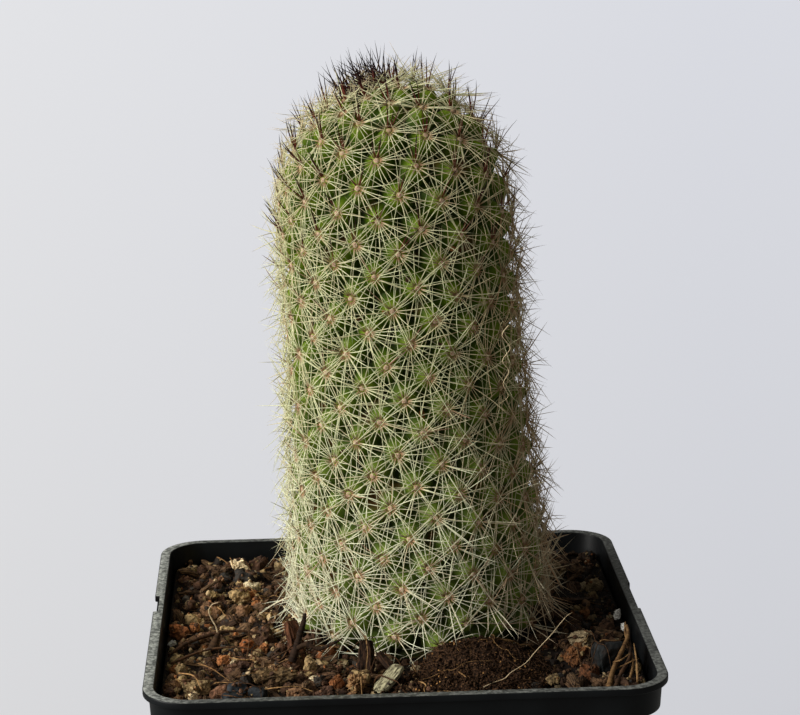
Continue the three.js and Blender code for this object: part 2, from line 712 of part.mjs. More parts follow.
/** The gritty soil that fills the pot, with coarse grains fused into its surface and seats for what lies on it. */
function makeSoil(loose) {
  const collarFoot = POT.height - POT.collarDrop;
  const low = insideOfWall(POT.floor + FIT_GAP);
  const high = insideOfWall(collarFoot - POT.wall);
  const filled = loft([
    squareRing(low.half - FIT_GAP, low.corner, POT.floor + FIT_GAP),
    squareRing(high.half - FIT_GAP, high.corner, collarFoot - POT.wall),
    squareRing(POT.mouthHalf - 0.3 - FIT_GAP, POT.mouthCorner, collarFoot + FIT_GAP),
    squareRing(POT.mouthHalf - 0.3 - FIT_GAP, POT.mouthCorner, SOIL_TOP),
  ]);
  const cutters = loose.map(({ shape }) => shape(FIT_GAP));
  const seats = cutters.map((cutter) => new THREE.Box3().setFromBufferAttribute(cutter.getAttribute("position")));
  const random = seededRandom(GRIT.seed);
  const grains = [];
  let tries = 0;
  while (grains.length < GRIT.count && tries < 6000) {
    tries++;
    const half = THREE.MathUtils.lerp(GRIT.small, GRIT.large, random() ** 1.6);
    const limit = POT.mouthHalf - FIT_GAP - GRIT.fromWall - half;
    const x = (random() * 2 - 1) * limit;
    const y = (random() * 2 - 1) * limit;
    if (aroundStem(x, y).radius < NECK.hole + half * 0.9) continue;
    if (seats.some((seat) => seat.containsPoint(new THREE.Vector3(x, y, SOIL_TOP)))) continue;
    if (grains.some((g) => Math.hypot(g.x - x, g.y - y) < GRIT.spread * (g.half + half))) continue;
    grains.push({ x, y, half });
  }
  const stones = grains.map(({ x, y, half }) => {
    const size = [half, half * GRIT.flat, half * GRIT.flat];
    return solidFrom(stoneGeometry(size, random() * 360, [x, y, SOIL_TOP], random));
  });
  const hole = new THREE.CylinderGeometry(NECK.hole, NECK.hole, 2 * (NECK.end + FIT_GAP), 2 * NECK.sides);
  hole.rotateX(TURN / 4);
  hole.translate(STEM.baseX, STEM.baseY, SOIL_TOP);
  const body = wasm.Manifold.union([solidFrom(filled), ...stones]);
  const cut = wasm.Manifold.union([solidFrom(hole), ...cutters.map(solidFrom)]);
  const bodies = body.subtract(cut).decompose();
  bodies.sort((a, b) => b.volume() - a.volume());
  return piece("soil", geometryFrom(bodies[0]), 0x5b4334, 0.95);
}

const plant = new THREE.Group();
const loose = loosePieces();
plant.add(makePot(), makeSoil(loose), makeCactus());
for (const { name, colour, shape } of loose) plant.add(piece(name, shape(0), colour, 0.9));

export default plant;
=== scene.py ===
"""A columnar pincushion cactus in a square black nursery pot: its looks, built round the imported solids.

Everything is in metres in the frame of the solids. The origin is the middle of the pot's underside, +Z is
up and the front of the plant faces -Y. Sizes are in millimetres and turned to metres where a mesh is made.
"""

from __future__ import annotations

import json
import logging
import math
from collections.abc import Callable
from dataclasses import dataclass, field
from enum import Enum
from functools import cache, partial

import bmesh
import bpy
import numpy as np
from mathutils import Matrix, Vector, noise
from mathutils.bvhtree import BVHTree

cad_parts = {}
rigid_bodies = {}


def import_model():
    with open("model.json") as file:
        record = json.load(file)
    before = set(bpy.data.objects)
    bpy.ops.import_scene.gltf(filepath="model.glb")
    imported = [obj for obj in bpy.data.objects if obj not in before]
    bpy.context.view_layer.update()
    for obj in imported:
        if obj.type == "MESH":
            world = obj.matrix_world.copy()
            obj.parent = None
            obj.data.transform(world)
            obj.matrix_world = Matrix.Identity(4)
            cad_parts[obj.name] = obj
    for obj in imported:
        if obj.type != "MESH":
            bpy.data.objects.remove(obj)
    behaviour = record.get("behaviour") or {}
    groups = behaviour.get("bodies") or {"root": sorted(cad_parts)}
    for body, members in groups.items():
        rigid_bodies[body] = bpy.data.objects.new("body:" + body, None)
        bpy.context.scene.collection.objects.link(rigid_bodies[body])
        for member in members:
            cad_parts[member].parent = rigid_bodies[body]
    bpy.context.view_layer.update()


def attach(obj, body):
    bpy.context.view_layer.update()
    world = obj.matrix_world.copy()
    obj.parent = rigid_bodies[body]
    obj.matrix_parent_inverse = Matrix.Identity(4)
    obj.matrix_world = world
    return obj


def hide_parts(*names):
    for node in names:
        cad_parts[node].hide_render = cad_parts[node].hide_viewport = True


LOG = logging.getLogger("potted_cactus")
MM = 0.001
TURN = 2 * math.pi
GOLDEN_ANGLE = math.radians(137.50776)
SOIL_TOP = 62.0  # the level of the soil over the pot's underside
FIT_GAP = 0.35  # the clearance between pieces that touch
STEM_FOOT = (3.95, 2.5)  # where the stem's centre line meets the soil
SKIN_GLOW = (1.0, 0.8, 0.4)  # red light travels farthest under a living skin
PAINTED_LIGHT_TO = -24.0  # the soil is painted pale as painted light up to here from the left, and painted dark as painted shade from the next place on
PAINTED_SHADE_FROM = 20.0
SHADE_STEP = 0.37  # neighbours in a row of shades differ by this share
LOOSE_SEED = 300  # the first of the loose stones' seeds
SMALL_SEED = 400
BARK_SEED = 5  # the pieces of bark have shapes of their own, so their seeds lie far apart

Rgba = tuple[float, float, float, float]
Point = tuple[float, float, float]
Inputs = dict[str, object] | tuple | float | bpy.types.Node | bpy.types.NodeSocket
Look = dict[str, object]
Adder = Callable[..., bpy.types.Node]
GrowTree = bpy.types.GeometryNodeTree
Piece = bpy.types.Object
Chance = np.random.Generator
Face = tuple[int, ...]
Grain = tuple[float, float, float, float]  # x, y, z and half size
Layer = tuple[int, float, float, float]
Stops = tuple[tuple[float, str], ...]


def linear(colour: str) -> Rgba:
    """Turn an sRGB hex colour to linear light.

    Args:
        colour: A hex value such as "#7a4630".

    Returns:
        The linear red, green and blue, with an alpha of 1.
    """
    channels = [int(colour[i : i + 2], 16) / 255 for i in (1, 3, 5)]
    red, green, blue = (c / 12.92 if c <= 0.04045 else ((c + 0.055) / 1.055) ** 2.4 for c in channels)
    return (red, green, blue, 1.0)


def evenly(shades: tuple[str, ...]) -> Stops:
    """Spread shades evenly over a colour ramp."""
    last = max(1, len(shades) - 1)
    return tuple((i / last, shade) for i, shade in enumerate(shades))


def unit(value: float) -> float:
    """Hold a number between 0 and 1."""
    return min(1.0, max(0.0, value))


def from_stem(x: float, y: float) -> float:
    """Give how far a place is from the middle of the stem's foot, in millimetres."""
    return math.hypot(x - STEM_FOOT[0], y - STEM_FOOT[1])


def per_mm(size: float) -> float:
    """Give the texture scale whose blotches or cells are this many millimetres wide."""
    return 1 / (size * MM)


class Kind(Enum):
    """The kinds of node in use here, each with the program's name for it and its settings."""

    TIMES = ("ShaderNodeMath", {"operation": "MULTIPLY"})
    PLUS = ("ShaderNodeMath", {"operation": "ADD"})
    MINUS = ("ShaderNodeMath", {"operation": "SUBTRACT"})
    OVER = ("ShaderNodeMath", {"operation": "DIVIDE"})
    TIMES_PLUS = ("ShaderNodeMath", {"operation": "MULTIPLY_ADD"})
    ROOT = ("ShaderNodeMath", {"operation": "SQRT"})
    POWER = ("ShaderNodeMath", {"operation": "POWER"})
    LEAST = ("ShaderNodeMath", {"operation": "MINIMUM"})
    MOST = ("ShaderNodeMath", {"operation": "MAXIMUM"})
    CLAMP = ("ShaderNodeClamp", {})
    RANGE = ("ShaderNodeMapRange", {})
    BLEND = ("ShaderNodeMix", {"data_type": "RGBA"})
    RAMP = ("ShaderNodeValToRGB", {})
    HUE = ("ShaderNodeHueSaturation", {})
    NOISE = ("ShaderNodeTexNoise", {})
    CELLS = ("ShaderNodeTexVoronoi", {})
    BUMP = ("ShaderNodeBump", {})
    SPLIT = ("ShaderNodeSeparateXYZ", {})
    SPLIT_COLOUR = ("ShaderNodeSeparateColor", {})
    JOIN = ("ShaderNodeCombineXYZ", {})
    ADD_VECTOR = ("ShaderNodeVectorMath", {"operation": "ADD"})
    LESS_VECTOR = ("ShaderNodeVectorMath", {"operation": "SUBTRACT"})
    SCALE_VECTOR = ("ShaderNodeVectorMath", {"operation": "SCALE"})
    COORDINATES = ("ShaderNodeTexCoord", {})
    FACING = ("ShaderNodeNewGeometry", {})
    ATTRIBUTE = ("ShaderNodeAttribute", {})
    NUMBER = ("GeometryNodeInputNamedAttribute", {"data_type": "FLOAT"})
    VECTOR = ("GeometryNodeInputNamedAttribute", {"data_type": "FLOAT_VECTOR"})
    STORE = ("GeometryNodeStoreNamedAttribute", {"data_type": "FLOAT", "domain": "POINT"})
    POSITION = ("GeometryNodeInputPosition", {})
    NORMAL = ("GeometryNodeInputNormal", {})
    MOVE = ("GeometryNodeSetPosition", {})
    SMOOTH = ("GeometryNodeSetShadeSmooth", {})
    POINTS = ("GeometryNodeMeshToPoints", {"mode": "VERTICES"})
    INSTANCES = ("GeometryNodeInstanceOnPoints", {})
    REALIZE = ("GeometryNodeRealizeInstances", {})
    FINISH = ("GeometryNodeSetMaterial", {})
    OBJECT = ("GeometryNodeObjectInfo", {"transform_space": "ORIGINAL"})
    COLLECTION = ("GeometryNodeCollectionInfo", {})
    NEAREST = ("GeometryNodeProximity", {"target_element": "POINTS"})
    CONE = ("GeometryNodeMeshCone", {"fill_type": "NGON"})
    BALL = ("GeometryNodeMeshIcoSphere", {})
    LINE = ("GeometryNodeMeshToCurve", {})
    RING = ("GeometryNodeCurvePrimitiveCircle", {})
    TUBE = ("GeometryNodeCurveToMesh", {})
    CHANCE = ("FunctionNodeRandomValue", {})
    AIM = ("FunctionNodeAlignRotationToVector", {"axis": "Z"})
    TWIST = ("FunctionNodeAxisAngleToRotation", {})
    TURN_BY = ("FunctionNodeRotateRotation", {"rotation_space": "LOCAL"})


def feed(node: bpy.types.Node, inputs: Inputs) -> None:
    """Fill inputs of a node with values and links.

    Args:
        node: The node, with its settings made.
        inputs: What goes into its inputs: by name, as a row in the order in which the node shows them, or
            what goes into the first alone. A node stands for its own first output, and a hex colour is
            turned to linear light.
    """
    shown = [socket for socket in node.inputs if socket.enabled]
    if isinstance(inputs, dict):
        named = {socket.name: socket for socket in shown}
        pairs = [(named[key], value) for key, value in inputs.items()]
    else:
        pairs = zip(shown, inputs if isinstance(inputs, tuple) else (inputs,))
    for socket, value in pairs:
        if isinstance(value, bpy.types.Node):
            value = next(output for output in value.outputs if output.enabled)
        if isinstance(value, bpy.types.NodeSocket):
            node.id_data.links.new(value, socket)
        else:
            socket.default_value = linear(value) if str(value).startswith("#") else value


def add_node(
    tree: bpy.types.NodeTree,
    kind: Kind,
    inputs: Inputs = (),
    stops: Stops = (),
    **settings: object,
) -> bpy.types.Node:
    """Add a node with its settings, its values and its links.

    Args:
        tree: The shader or geometry tree that gets the node.
        kind: The kind of node.
        inputs: What goes into its inputs, as for feed.
        stops: A colour ramp's places from 0 to 1, each with an sRGB hex colour.
        **settings: The node's other properties.

    Returns:
        The new node.
    """
    name, fixed = kind.value
    node = tree.nodes.new(name)
    for key, value in {**fixed, **settings}.items():
        setattr(node, key, value)
    feed(node, inputs)
    if stops:
        points = node.color_ramp.elements
        while len(points) < len(stops):
            points.new(0.5)
        for point, (place, colour) in zip(points, stops):
            point.position = place
            point.color = linear(colour)
    return node


# Finishes


@dataclass(frozen=True)
class Surface:
    """The numbers that every finish has."""

    name: str
    roughness: float = 0.7
    ior: float = 1.5
    gloss: float = 0.5
    subsurface: float = 0.0
    glow_reach: float = 0.6  # how far light travels under the skin, in millimetres

    def look(self, add: Adder, place: bpy.types.NodeSocket) -> Look:
        """Lay out the nodes of this finish.

        Args:
            add: Adds a node.
            place: The Object coordinates.

        Returns:
            What goes into the shader.
        """
        raise NotImplementedError

    def material(self) -> bpy.types.Material:
        """Make the material.

        Returns:
            The material with its nodes.
        """
        material = bpy.data.materials.new(self.name)
        material.use_nodes = True
        tree = material.node_tree
        shader = tree.nodes["Principled BSDF"]
        feed(shader, {"Roughness": self.roughness, "IOR": self.ior, "Specular IOR Level": self.gloss})
        if self.subsurface:
            reach = {"Subsurface Radius": SKIN_GLOW, "Subsurface Scale": self.glow_reach * MM}
            feed(shader, {"Subsurface Weight": self.subsurface, **reach})
        place = add_node(tree, Kind.COORDINATES).outputs["Object"]
        feed(shader, self.look(partial(add_node, tree), place))
        return material


@dataclass(frozen=True)
class MouldedPlastic(Surface):
    """Black polypropylene, injection moulded: nearly black, with a soft sheen, and grey dust on the lip that
    is painted thicker at the left as painted light.
    """

    name: str = "moulded_black_polypropylene"
    roughness: float = 0.4
    gloss: float = 0.22
    body: str = "#0b0c0e"
    worn: str = "#15181a"
    dust: str = "#cccfc9"
    speckle_mm: float = 0.7
    scuff_mm: float = 9.0
    grain_mm: float = 0.3
    lip_from: float = 64.3
    lip_edge: float = 0.5
    dust_lit_from: float = -35.0  # the dust, thickest at the left as painted light, thins from here to the next place, and is thin from there on as painted shade
    dust_lit_to: float = -27.0
    dust_in_shade: float = 0.36
    dust_roughness: float = 0.85

    def look(self, add: Adder, place: bpy.types.NodeSocket) -> Look:
        """Lay out the nodes of this finish.

        Args:
            add: Adds a node.
            place: The Object coordinates.

        Returns:
            What goes into the shader.
        """
        facing = add(Kind.FACING).outputs["Normal"]
        upward = add(Kind.SPLIT, facing).outputs["Z"]
        spot = add(Kind.SPLIT, place)
        speckle = add(Kind.NOISE, (place, per_mm(self.speckle_mm), 5.0, 0.7))
        scuff = add(Kind.NOISE, (place, per_mm(self.scuff_mm), 4.0))
        wear = add(Kind.RANGE, (scuff, 0.42, 0.7))
        plain = add(Kind.BLEND, (wear, self.body, self.worn))
        # Dust lies on the flat of the lip alone; more of it is laid at the left as painted light, and less
        # elsewhere as painted shade.
        flat = add(Kind.RANGE, (upward, 0.86, 0.99))
        rim = add(Kind.RANGE, (spot.outputs["Z"], self.lip_from * MM, (self.lip_from + self.lip_edge) * MM))
        painted_side_light = add(
            Kind.RANGE, (spot.outputs["X"], self.dust_lit_from * MM, self.dust_lit_to * MM, 1.0, self.dust_in_shade)
        )
        patchy = add(Kind.RANGE, (speckle, 0.42, 0.62, 0.22, 1.0))
        on_lip = add(Kind.TIMES, (flat, rim))
        uneven = add(Kind.TIMES, (painted_side_light, patchy))
        dust_and_light_mask = add(Kind.TIMES, (on_lip, uneven))
        dusty = add(Kind.BLEND, (dust_and_light_mask, plain, self.dust))
        matt = add(Kind.RANGE, (dust_and_light_mask, 0.0, 1.0, self.roughness, self.dust_roughness))
        grain = add(Kind.NOISE, (place, per_mm(self.grain_mm), 4.0))
        relief = add(Kind.BUMP, {"Height": grain, "Distance": 0.02 * MM, "Strength": 0.5})
        return {"Base Color": dusty, "Roughness": matt, "Normal": relief}


@dataclass(frozen=True)
class CactusSkin(Surface):
    """Waxy living skin: bright on tubercles' tips, nearly black in the valleys as painted shade, bleached
    near the soil.
    """

    name: str = "waxy_cactus_skin"
    roughness: float = 0.55
    gloss: float = 0.16
    subsurface: float = 0.12
    tip: str = "#9cb043"
    shoulder: str = "#7a9320"
    flank: str = "#496407"
    cleft_shade: str = "#243400"
    valley_shade: str = "#131b00"
    shaded: str = "#3c5107"
    old: str = "#adbe70"
    cork: str = "#6d4a2b"
    depths: tuple[float, ...] = (0.0, 0.22, 0.5, 0.78, 1.0)  # how deep the five greens lie
    bleach_from: float = 110.0  # the skin is bleached more and more from this height down to the next
    bleach_full: float = 72.0
    bleach: float = 0.34
    cloud_mm: float = 3.2
    cork_mm: float = 5.5
    pore_mm: float = 0.3

    def look(self, add: Adder, place: bpy.types.NodeSocket) -> Look:
        """Lay out the nodes of this finish.

        Args:
            add: Adds a node.
            place: The Object coordinates.

        Returns:
            What goes into the shader.
        """
        sunk = add(Kind.ATTRIBUTE, attribute_name="sunk").outputs["Fac"]
        height = add(Kind.SPLIT, place).outputs["Z"]
        greens = (self.tip, self.shoulder, self.flank, self.cleft_shade, self.valley_shade)
        # The green darkens with depth; the near black of the clefts and valleys is painted shade.
        skin = add(Kind.RAMP, sunk, stops=tuple(zip(self.depths, greens)))
        # The lowest tubercles are the oldest, and their tips are bleached most.
        low = add(Kind.RANGE, (height, self.bleach_from * MM, self.bleach_full * MM, 0.0, self.bleach))
        raised = add(Kind.RANGE, (sunk, 0.95, 0.1, 0.12, 1.0))
        bleach = add(Kind.TIMES, (low, raised))
        aged = add(Kind.BLEND, (bleach, skin, self.old))
        cloud = add(Kind.NOISE, (place, per_mm(self.cloud_mm), 4.0))
        cloudy = add(Kind.RANGE, (cloud, 0.35, 0.7, 0.0, 0.35))
        mottled = add(Kind.BLEND, (cloudy, aged, self.shaded))
        spots = add(Kind.NOISE, (place, per_mm(self.cork_mm), 3.0))
        corked = add(Kind.RANGE, (spots, 0.6, 0.68))
        in_valley = add(Kind.RANGE, (sunk, 0.45, 0.8, 0.0, 0.8))
        corky = add(Kind.TIMES, (corked, in_valley))
        final = add(Kind.BLEND, (corky, mottled, self.cork))
        pores = add(Kind.NOISE, (place, per_mm(self.pore_mm), 3.0))
        relief = add(Kind.BUMP, {"Height": pores, "Distance": 0.03 * MM, "Strength": 0.6})
        return {"Base Color": final, "Normal": relief}


class SpineKind(Enum):
    """Which of a tubercle's spines a spine is."""

    RADIAL = "radial"
    CENTRAL = "central"


@dataclass(frozen=True)
class SpineHorn(Surface):
    """Dry horn of a spine: pink-brown at its root, pale along its shaft, dark to the tip when young.

    The attribute "dark" is 0 on radial spines, about 0.4 on old centrals, 0.8 on young ones, 1 at the crown.
    """

    name: str = "dry_spine_horn"
    roughness: float = 0.5
    gloss: float = 0.25
    root: str = "#b58d6a"
    shaft: str = "#eef0c2"
    warm: str = "#d2a880"
    old: str = "#f6f6e2"
    young_tip: str = "#b27e66"
    # Central spines from root to tip: old ones, grown ones and the youngest.
    faded: Stops = ((0.0, "#a07a58"), (0.3, "#c4a585"), (0.7, "#a07660"), (1.0, "#432820"))
    grown: Stops = ((0.0, "#7b4232"), (0.25, "#74342a"), (0.5, "#3f1713"), (0.8, "#150807"))
    black: Stops = ((0.0, "#5b2c25"), (0.25, "#2e1210"), (0.6, "#150808"), (1.0, "#0c0505"))

    def look(self, add: Adder, place: bpy.types.NodeSocket) -> Look:
        """Lay out the nodes of this finish.

        Args:
            add: Adds a node.
            place: The Object coordinates.

        Returns:
            What goes into the shader.
        """
        stored = ("along", "tone", "age", "dark")
        along, tone, age, dark = (add(Kind.ATTRIBUTE, attribute_name=name).outputs["Fac"] for name in stored)
        bleached = add(Kind.RANGE, (age, 0.5, 1.0, 0.0, 0.75))
        plain = add(Kind.BLEND, (bleached, self.shaft, self.old))
        # Tanner where the tone is high; on the plant's shaded side that tan is painted shade.
        shaft = add(Kind.BLEND, (tone, plain, self.warm))
        young = add(Kind.RANGE, (age, 0.3, 0.0, 0.0, 0.8))
        outer = add(Kind.RANGE, (along, 0.5, 1.0))
        tipped = add(Kind.TIMES, (young, outer))
        ended = add(Kind.BLEND, (tipped, shaft, self.young_tip))
        rooted = add(Kind.RANGE, (along, 0.02, 0.15))
        pale = add(Kind.BLEND, (rooted, self.root, ended))
        faded = add(Kind.RAMP, along, stops=self.faded)
        grown = add(Kind.RAMP, along, stops=self.grown)
        black = add(Kind.RAMP, along, stops=self.black)
        to_grown = add(Kind.RANGE, (dark, 0.45, 0.78))
        to_black = add(Kind.RANGE, (dark, 0.86, 0.98))
        is_central = add(Kind.RANGE, (dark, 0.1, 0.2))
        older = add(Kind.BLEND, (to_grown, faded, grown))
        central = add(Kind.BLEND, (to_black, older, black))
        final = add(Kind.BLEND, (is_central, pale, central))
        return {"Base Color": final}


@dataclass(frozen=True)
class AreoleWool(Surface):
    """Short felt where the spines meet: whitish when young, pinkish tan and mottled with age."""

    name: str = "areole_wool"
    roughness: float = 0.95
    gloss: float = 0.2
    young: str = "#b59674"
    aged: str = "#dcc1a4"
    deep: str = "#9a6a52"
    tuft_mm: float = 0.2

    def look(self, add: Adder, place: bpy.types.NodeSocket) -> Look:
        """Lay out the nodes of this finish.

        Args:
            add: Adds a node.
            place: The Object coordinates.

        Returns:
            What goes into the shader.
        """
        age = add(Kind.ATTRIBUTE, attribute_name="age").outputs["Fac"]
        grown = add(Kind.RANGE, (age, 0.04, 0.13))
        felt = add(Kind.BLEND, (grown, self.young, self.aged))
        tufts = add(Kind.NOISE, (place, per_mm(self.tuft_mm), 2.0))
        gaps = add(Kind.RANGE, (tufts, 0.42, 0.66))
        mottled = add(Kind.TIMES, (gaps, grown))
        final = add(Kind.BLEND, (mottled, felt, self.deep))
        return {"Base Color": final}


@dataclass(frozen=True)
class Grit(Surface):
    """Broken mineral or dry crumb: a colour per grain, pits, darker hollows, dust and painted shade at its
    foot.
    """

    roughness: float = 0.92
    gloss: float = 0.25
    shades: tuple[str, ...] = ("#7a4630", "#8d5338")
    dirt_and_shade: str = "#2e2017"
    pit_mm: float = 0.3
    pit_depth_mm: float = 0.2
    hollow_dark_from: float = 0.42
    foot_dust_and_shade: float = 0.45
    contrast: float = 0.58
    painted_light_left: float = 1.72  # how bright it is painted at the left, as painted light, and at the right, as painted shade
    damp_and_shade: float = 0.62

    def look(self, add: Adder, place: bpy.types.NodeSocket) -> Look:
        """Lay out the nodes of this finish.

        Args:
            add: Adds a node.
            place: The Object coordinates.

        Returns:
            What goes into the shader.
        """
        shade = add(Kind.ATTRIBUTE, attribute_name="shade").outputs["Fac"]
        own = add(Kind.RAMP, shade, stops=evenly(self.shades))
        cloud = add(Kind.NOISE, (place, per_mm(self.pit_mm * 2.4), 5.0, 0.72))
        value = add(Kind.RANGE, (cloud, 0.32, 0.68, 1 - self.contrast, 1 + self.contrast * 0.7))
        spot = add(Kind.SPLIT, place)
        # Brighter at the left as painted light and darker at the right as painted shade.
        painted_side_brightness = add(Kind.RANGE, (spot.outputs["X"], PAINTED_LIGHT_TO * MM, PAINTED_SHADE_FROM * MM, self.painted_light_left, self.damp_and_shade))
        bright = add(Kind.TIMES, (value, painted_side_brightness))
        lit = add(Kind.HUE, {"Value": bright, "Color": own})
        # Darker in the hollows of the bump.
        hollow = add(Kind.RANGE, (cloud, self.hollow_dark_from + 0.08, self.hollow_dark_from - 0.12, 0.0, 0.85))
        height = spot.outputs["Z"]
        # Darker towards its foot: soil dust, and painted shade where the grain meets the soil.
        foot = add(Kind.RANGE, (height, (SOIL_TOP + 1.0) * MM, (SOIL_TOP - 0.2) * MM, 0.0, self.foot_dust_and_shade))
        dirty = add(Kind.MOST, (hollow, foot))
        final = add(Kind.BLEND, (dirty, lit, self.dirt_and_shade))
        pits = add(Kind.CELLS, (place, per_mm(self.pit_mm)))
        relief = add(Kind.TIMES_PLUS, (pits, 0.6, cloud))
        bump = add(Kind.BUMP, {"Height": relief, "Distance": self.pit_depth_mm * MM, "Strength": 1.0})
        return {"Base Color": final, "Normal": bump}


@dataclass(frozen=True)
class FinePeat(Surface):
    """Old peat, crumbled as fine as ground coffee: dark brown, with a few pale or orange specks."""

    name: str = "fine_old_peat"
    roughness: float = 0.97
    gloss: float = 0.1
    deep: str = "#0f0905"
    crumb: str = "#37261a"
    crest_light: str = "#62462f"
    speck: str = "#b98a54"
    crumb_mm: float = 0.3
    speck_mm: float = 0.42

    def look(self, add: Adder, place: bpy.types.NodeSocket) -> Look:
        """Lay out the nodes of this finish.

        Args:
            add: Adds a node.
            place: The Object coordinates.

        Returns:
            What goes into the shader.
        """
        cells = add(Kind.CELLS, (place, per_mm(self.crumb_mm)))
        # The middle of each crumb is lighter than the gap round it: painted light on the crests and painted
        # shade in the gaps.
        crumbs = add(Kind.RAMP, cells, stops=((0.1, self.crest_light), (0.4, self.crumb), (0.8, self.deep)))
        marks = add(Kind.CELLS, (place, per_mm(self.speck_mm)))
        which = add(Kind.SPLIT_COLOUR, marks.outputs["Color"])
        chosen = add(Kind.RANGE, (which, 0.9, 0.92))
        small = add(Kind.RANGE, (marks, 0.34, 0.26))
        specked = add(Kind.TIMES, (chosen, small))
        final = add(Kind.BLEND, (specked, crumbs, self.speck))
        bump = add(Kind.BUMP, {"Height": cells, "Distance": 0.12 * MM, "Strength": 0.9}, invert=True)
        return {"Base Color": final, "Normal": bump}


@dataclass(frozen=True)
class Bark(Surface):
    """Weathered wood or bark: streaks and cracks along the grain, darker patches, painted paler at the left
    and darker at the right as painted light and shade.
    """

    roughness: float = 0.92
    gloss: float = 0.2
    shades: tuple[str, ...] = ("#b8b294",)
    streak: str = "#6b6045"
    streak_from: float = 0.4
    mottle_mm: float = 0.7
    painted_light_left: float = 1.35
    damp_and_shade: float = 0.66

    def look(self, add: Adder, place: bpy.types.NodeSocket) -> Look:
        """Lay out the nodes of this finish.

        Args:
            add: Adds a node.
            place: The Object coordinates.

        Returns:
            What goes into the shader.
        """
        shade = add(Kind.ATTRIBUTE, attribute_name="shade").outputs["Fac"]
        grain = add(Kind.ATTRIBUTE, attribute_name="grain").outputs["Vector"]
        far = add(Kind.TIMES, (shade, 37.0))
        moved = add(Kind.ADD_VECTOR, (grain, far))
        streaks = add(Kind.NOISE, (moved, 1.0, 5.0, 0.7))
        mottle = add(Kind.NOISE, (place, per_mm(self.mottle_mm), 4.0))
        own = add(Kind.RAMP, shade, stops=evenly(self.shades))
        between = add(Kind.RANGE, (streaks, self.streak_from, self.streak_from + 0.16))
        wood = add(Kind.BLEND, (between, self.streak, own))
        damp_and_shade = add(Kind.RANGE, (mottle, 0.5, 0.75, 0.0, 0.6))
        dirty = add(Kind.BLEND, (damp_and_shade, wood, self.streak))
        # Brighter at the left as painted light and darker at the right as painted shade.
        across = add(Kind.SPLIT, place).outputs["X"]
        painted_side_brightness = add(Kind.RANGE, (across, PAINTED_LIGHT_TO * MM, PAINTED_SHADE_FROM * MM, self.painted_light_left, self.damp_and_shade))
        final = add(Kind.HUE, {"Value": painted_side_brightness, "Color": dirty})
        bump = add(Kind.BUMP, {"Height": streaks, "Distance": 0.2 * MM, "Strength": 1.0})
        return {"Base Color": final, "Normal": bump}


@dataclass(frozen=True)
class StudioPaper(Surface):
    """Matt white paper that glows: a plain pale floor with no edge and no gloss, its glow dimmer and cooler
    to the right and dimmer towards the front as painted shade.
    """

    name: str = "pale_paper_floor"
    roughness: float = 1.0
    gloss: float = 0.0
    colour: str = "#cbcbcf"
    glow: str = "#f1f3f9"
    cool_shade: str = "#e4eafc"
    glow_left: float = 0.436
    glow_right: float = 0.385
    front: float = 0.36  # the place in front of the pot from which the light falls off to the right
    nearest: float = 0.24  # no point counts as nearer to that place than this
    fall: float = 0.06
    turn: float = 0.16  # the glow changes from this share to the left to as much to the right

    def look(self, add: Adder, place: bpy.types.NodeSocket) -> Look:
        """Lay out the nodes of this finish.

        Args:
            add: Adds a node.
            place: The Object coordinates.

        Returns:
            What goes into the shader.
        """
        spot = add(Kind.SPLIT, place)
        ahead = add(Kind.PLUS, (spot.outputs["Y"], self.front))
        away = add(Kind.MOST, (ahead, self.nearest))
        aside = add(Kind.OVER, (spot.outputs["X"], away))
        # The glow is painted dimmer and cooler to the right and dimmer towards the front, as painted shade.
        share = add(Kind.RANGE, (aside, -self.turn, self.turn))
        tint = add(Kind.BLEND, (share, self.glow, self.cool_shade))
        painted_side_light = add(Kind.RANGE, (share, 0.0, 1.0, self.glow_left, self.glow_right))
        near = add(Kind.OVER, (self.fall, away))
        glow = add(Kind.MINUS, (painted_side_light, near))
        return {"Base Color": self.colour, "Emission Color": tint, "Emission Strength": glow}


LAVA = Grit("red_lava_grit", shades=("#47342a", "#6c4c38", "#866547", "#5b4536"))
ORANGE = Grit("burnt_clay_grit", shades=("#7a4b2d", "#946139", "#86512f"))
RUST = Grit(
    "rusty_pumice", shades=("#8a6846", "#a98a5f"), dirt_and_shade="#59331a", pit_mm=0.55, hollow_dark_from=0.48,
    pit_depth_mm=0.25,
)
PUMICE = Grit(
    "tan_pumice_grit", shades=("#7a6647", "#a48a60", "#8b734f", "#b89f77"), dirt_and_shade="#2e2216", pit_mm=0.35
)
DARK_STONE = Grit("dark_slate_grit", roughness=0.8, shades=("#1f1c19", "#2f2b27", "#433d36"), pit_mm=0.6)
BLUE_STONE = Grit(
    "dark_blue_slate", roughness=0.75, gloss=0.3, shades=("#1d2023", "#292d31"), dirt_and_shade="#0b0b0b", pit_mm=0.8
)
CREAM = Grit("cream_quartz_grit", roughness=0.8, shades=("#b8a27c", "#d6c4a0", "#c4a981"), dirt_and_shade="#4d3b26")
CRUMB = Grit("peat_crumb", shades=("#33231a", "#4a3425", "#634632"), pit_mm=0.35)
CLAY = Grit(
    "dry_clay_clod", shades=("#4c3c29", "#6e583b"), dirt_and_shade="#1b120a", pit_mm=0.5, pit_depth_mm=0.25,
    hollow_dark_from=0.47,
)
CHARCOAL = Grit("wood_charcoal", roughness=0.7, shades=("#1a1c1d", "#26292a"), pit_mm=0.7, foot_dust_and_shade=0.3)
SOIL = Grit("gritty_potting_soil", shades=("#2a1e15", "#2a1e15"), dirt_and_shade="#0a0604", pit_mm=0.45, hollow_dark_from=0.5)
PERLITE = Grit(
    "white_perlite", shades=("#d9d6cf", "#eceae4"), dirt_and_shade="#8d8676", foot_dust_and_shade=0.1, contrast=0.25, painted_light_left=1.0,
    damp_and_shade=1.0,
)
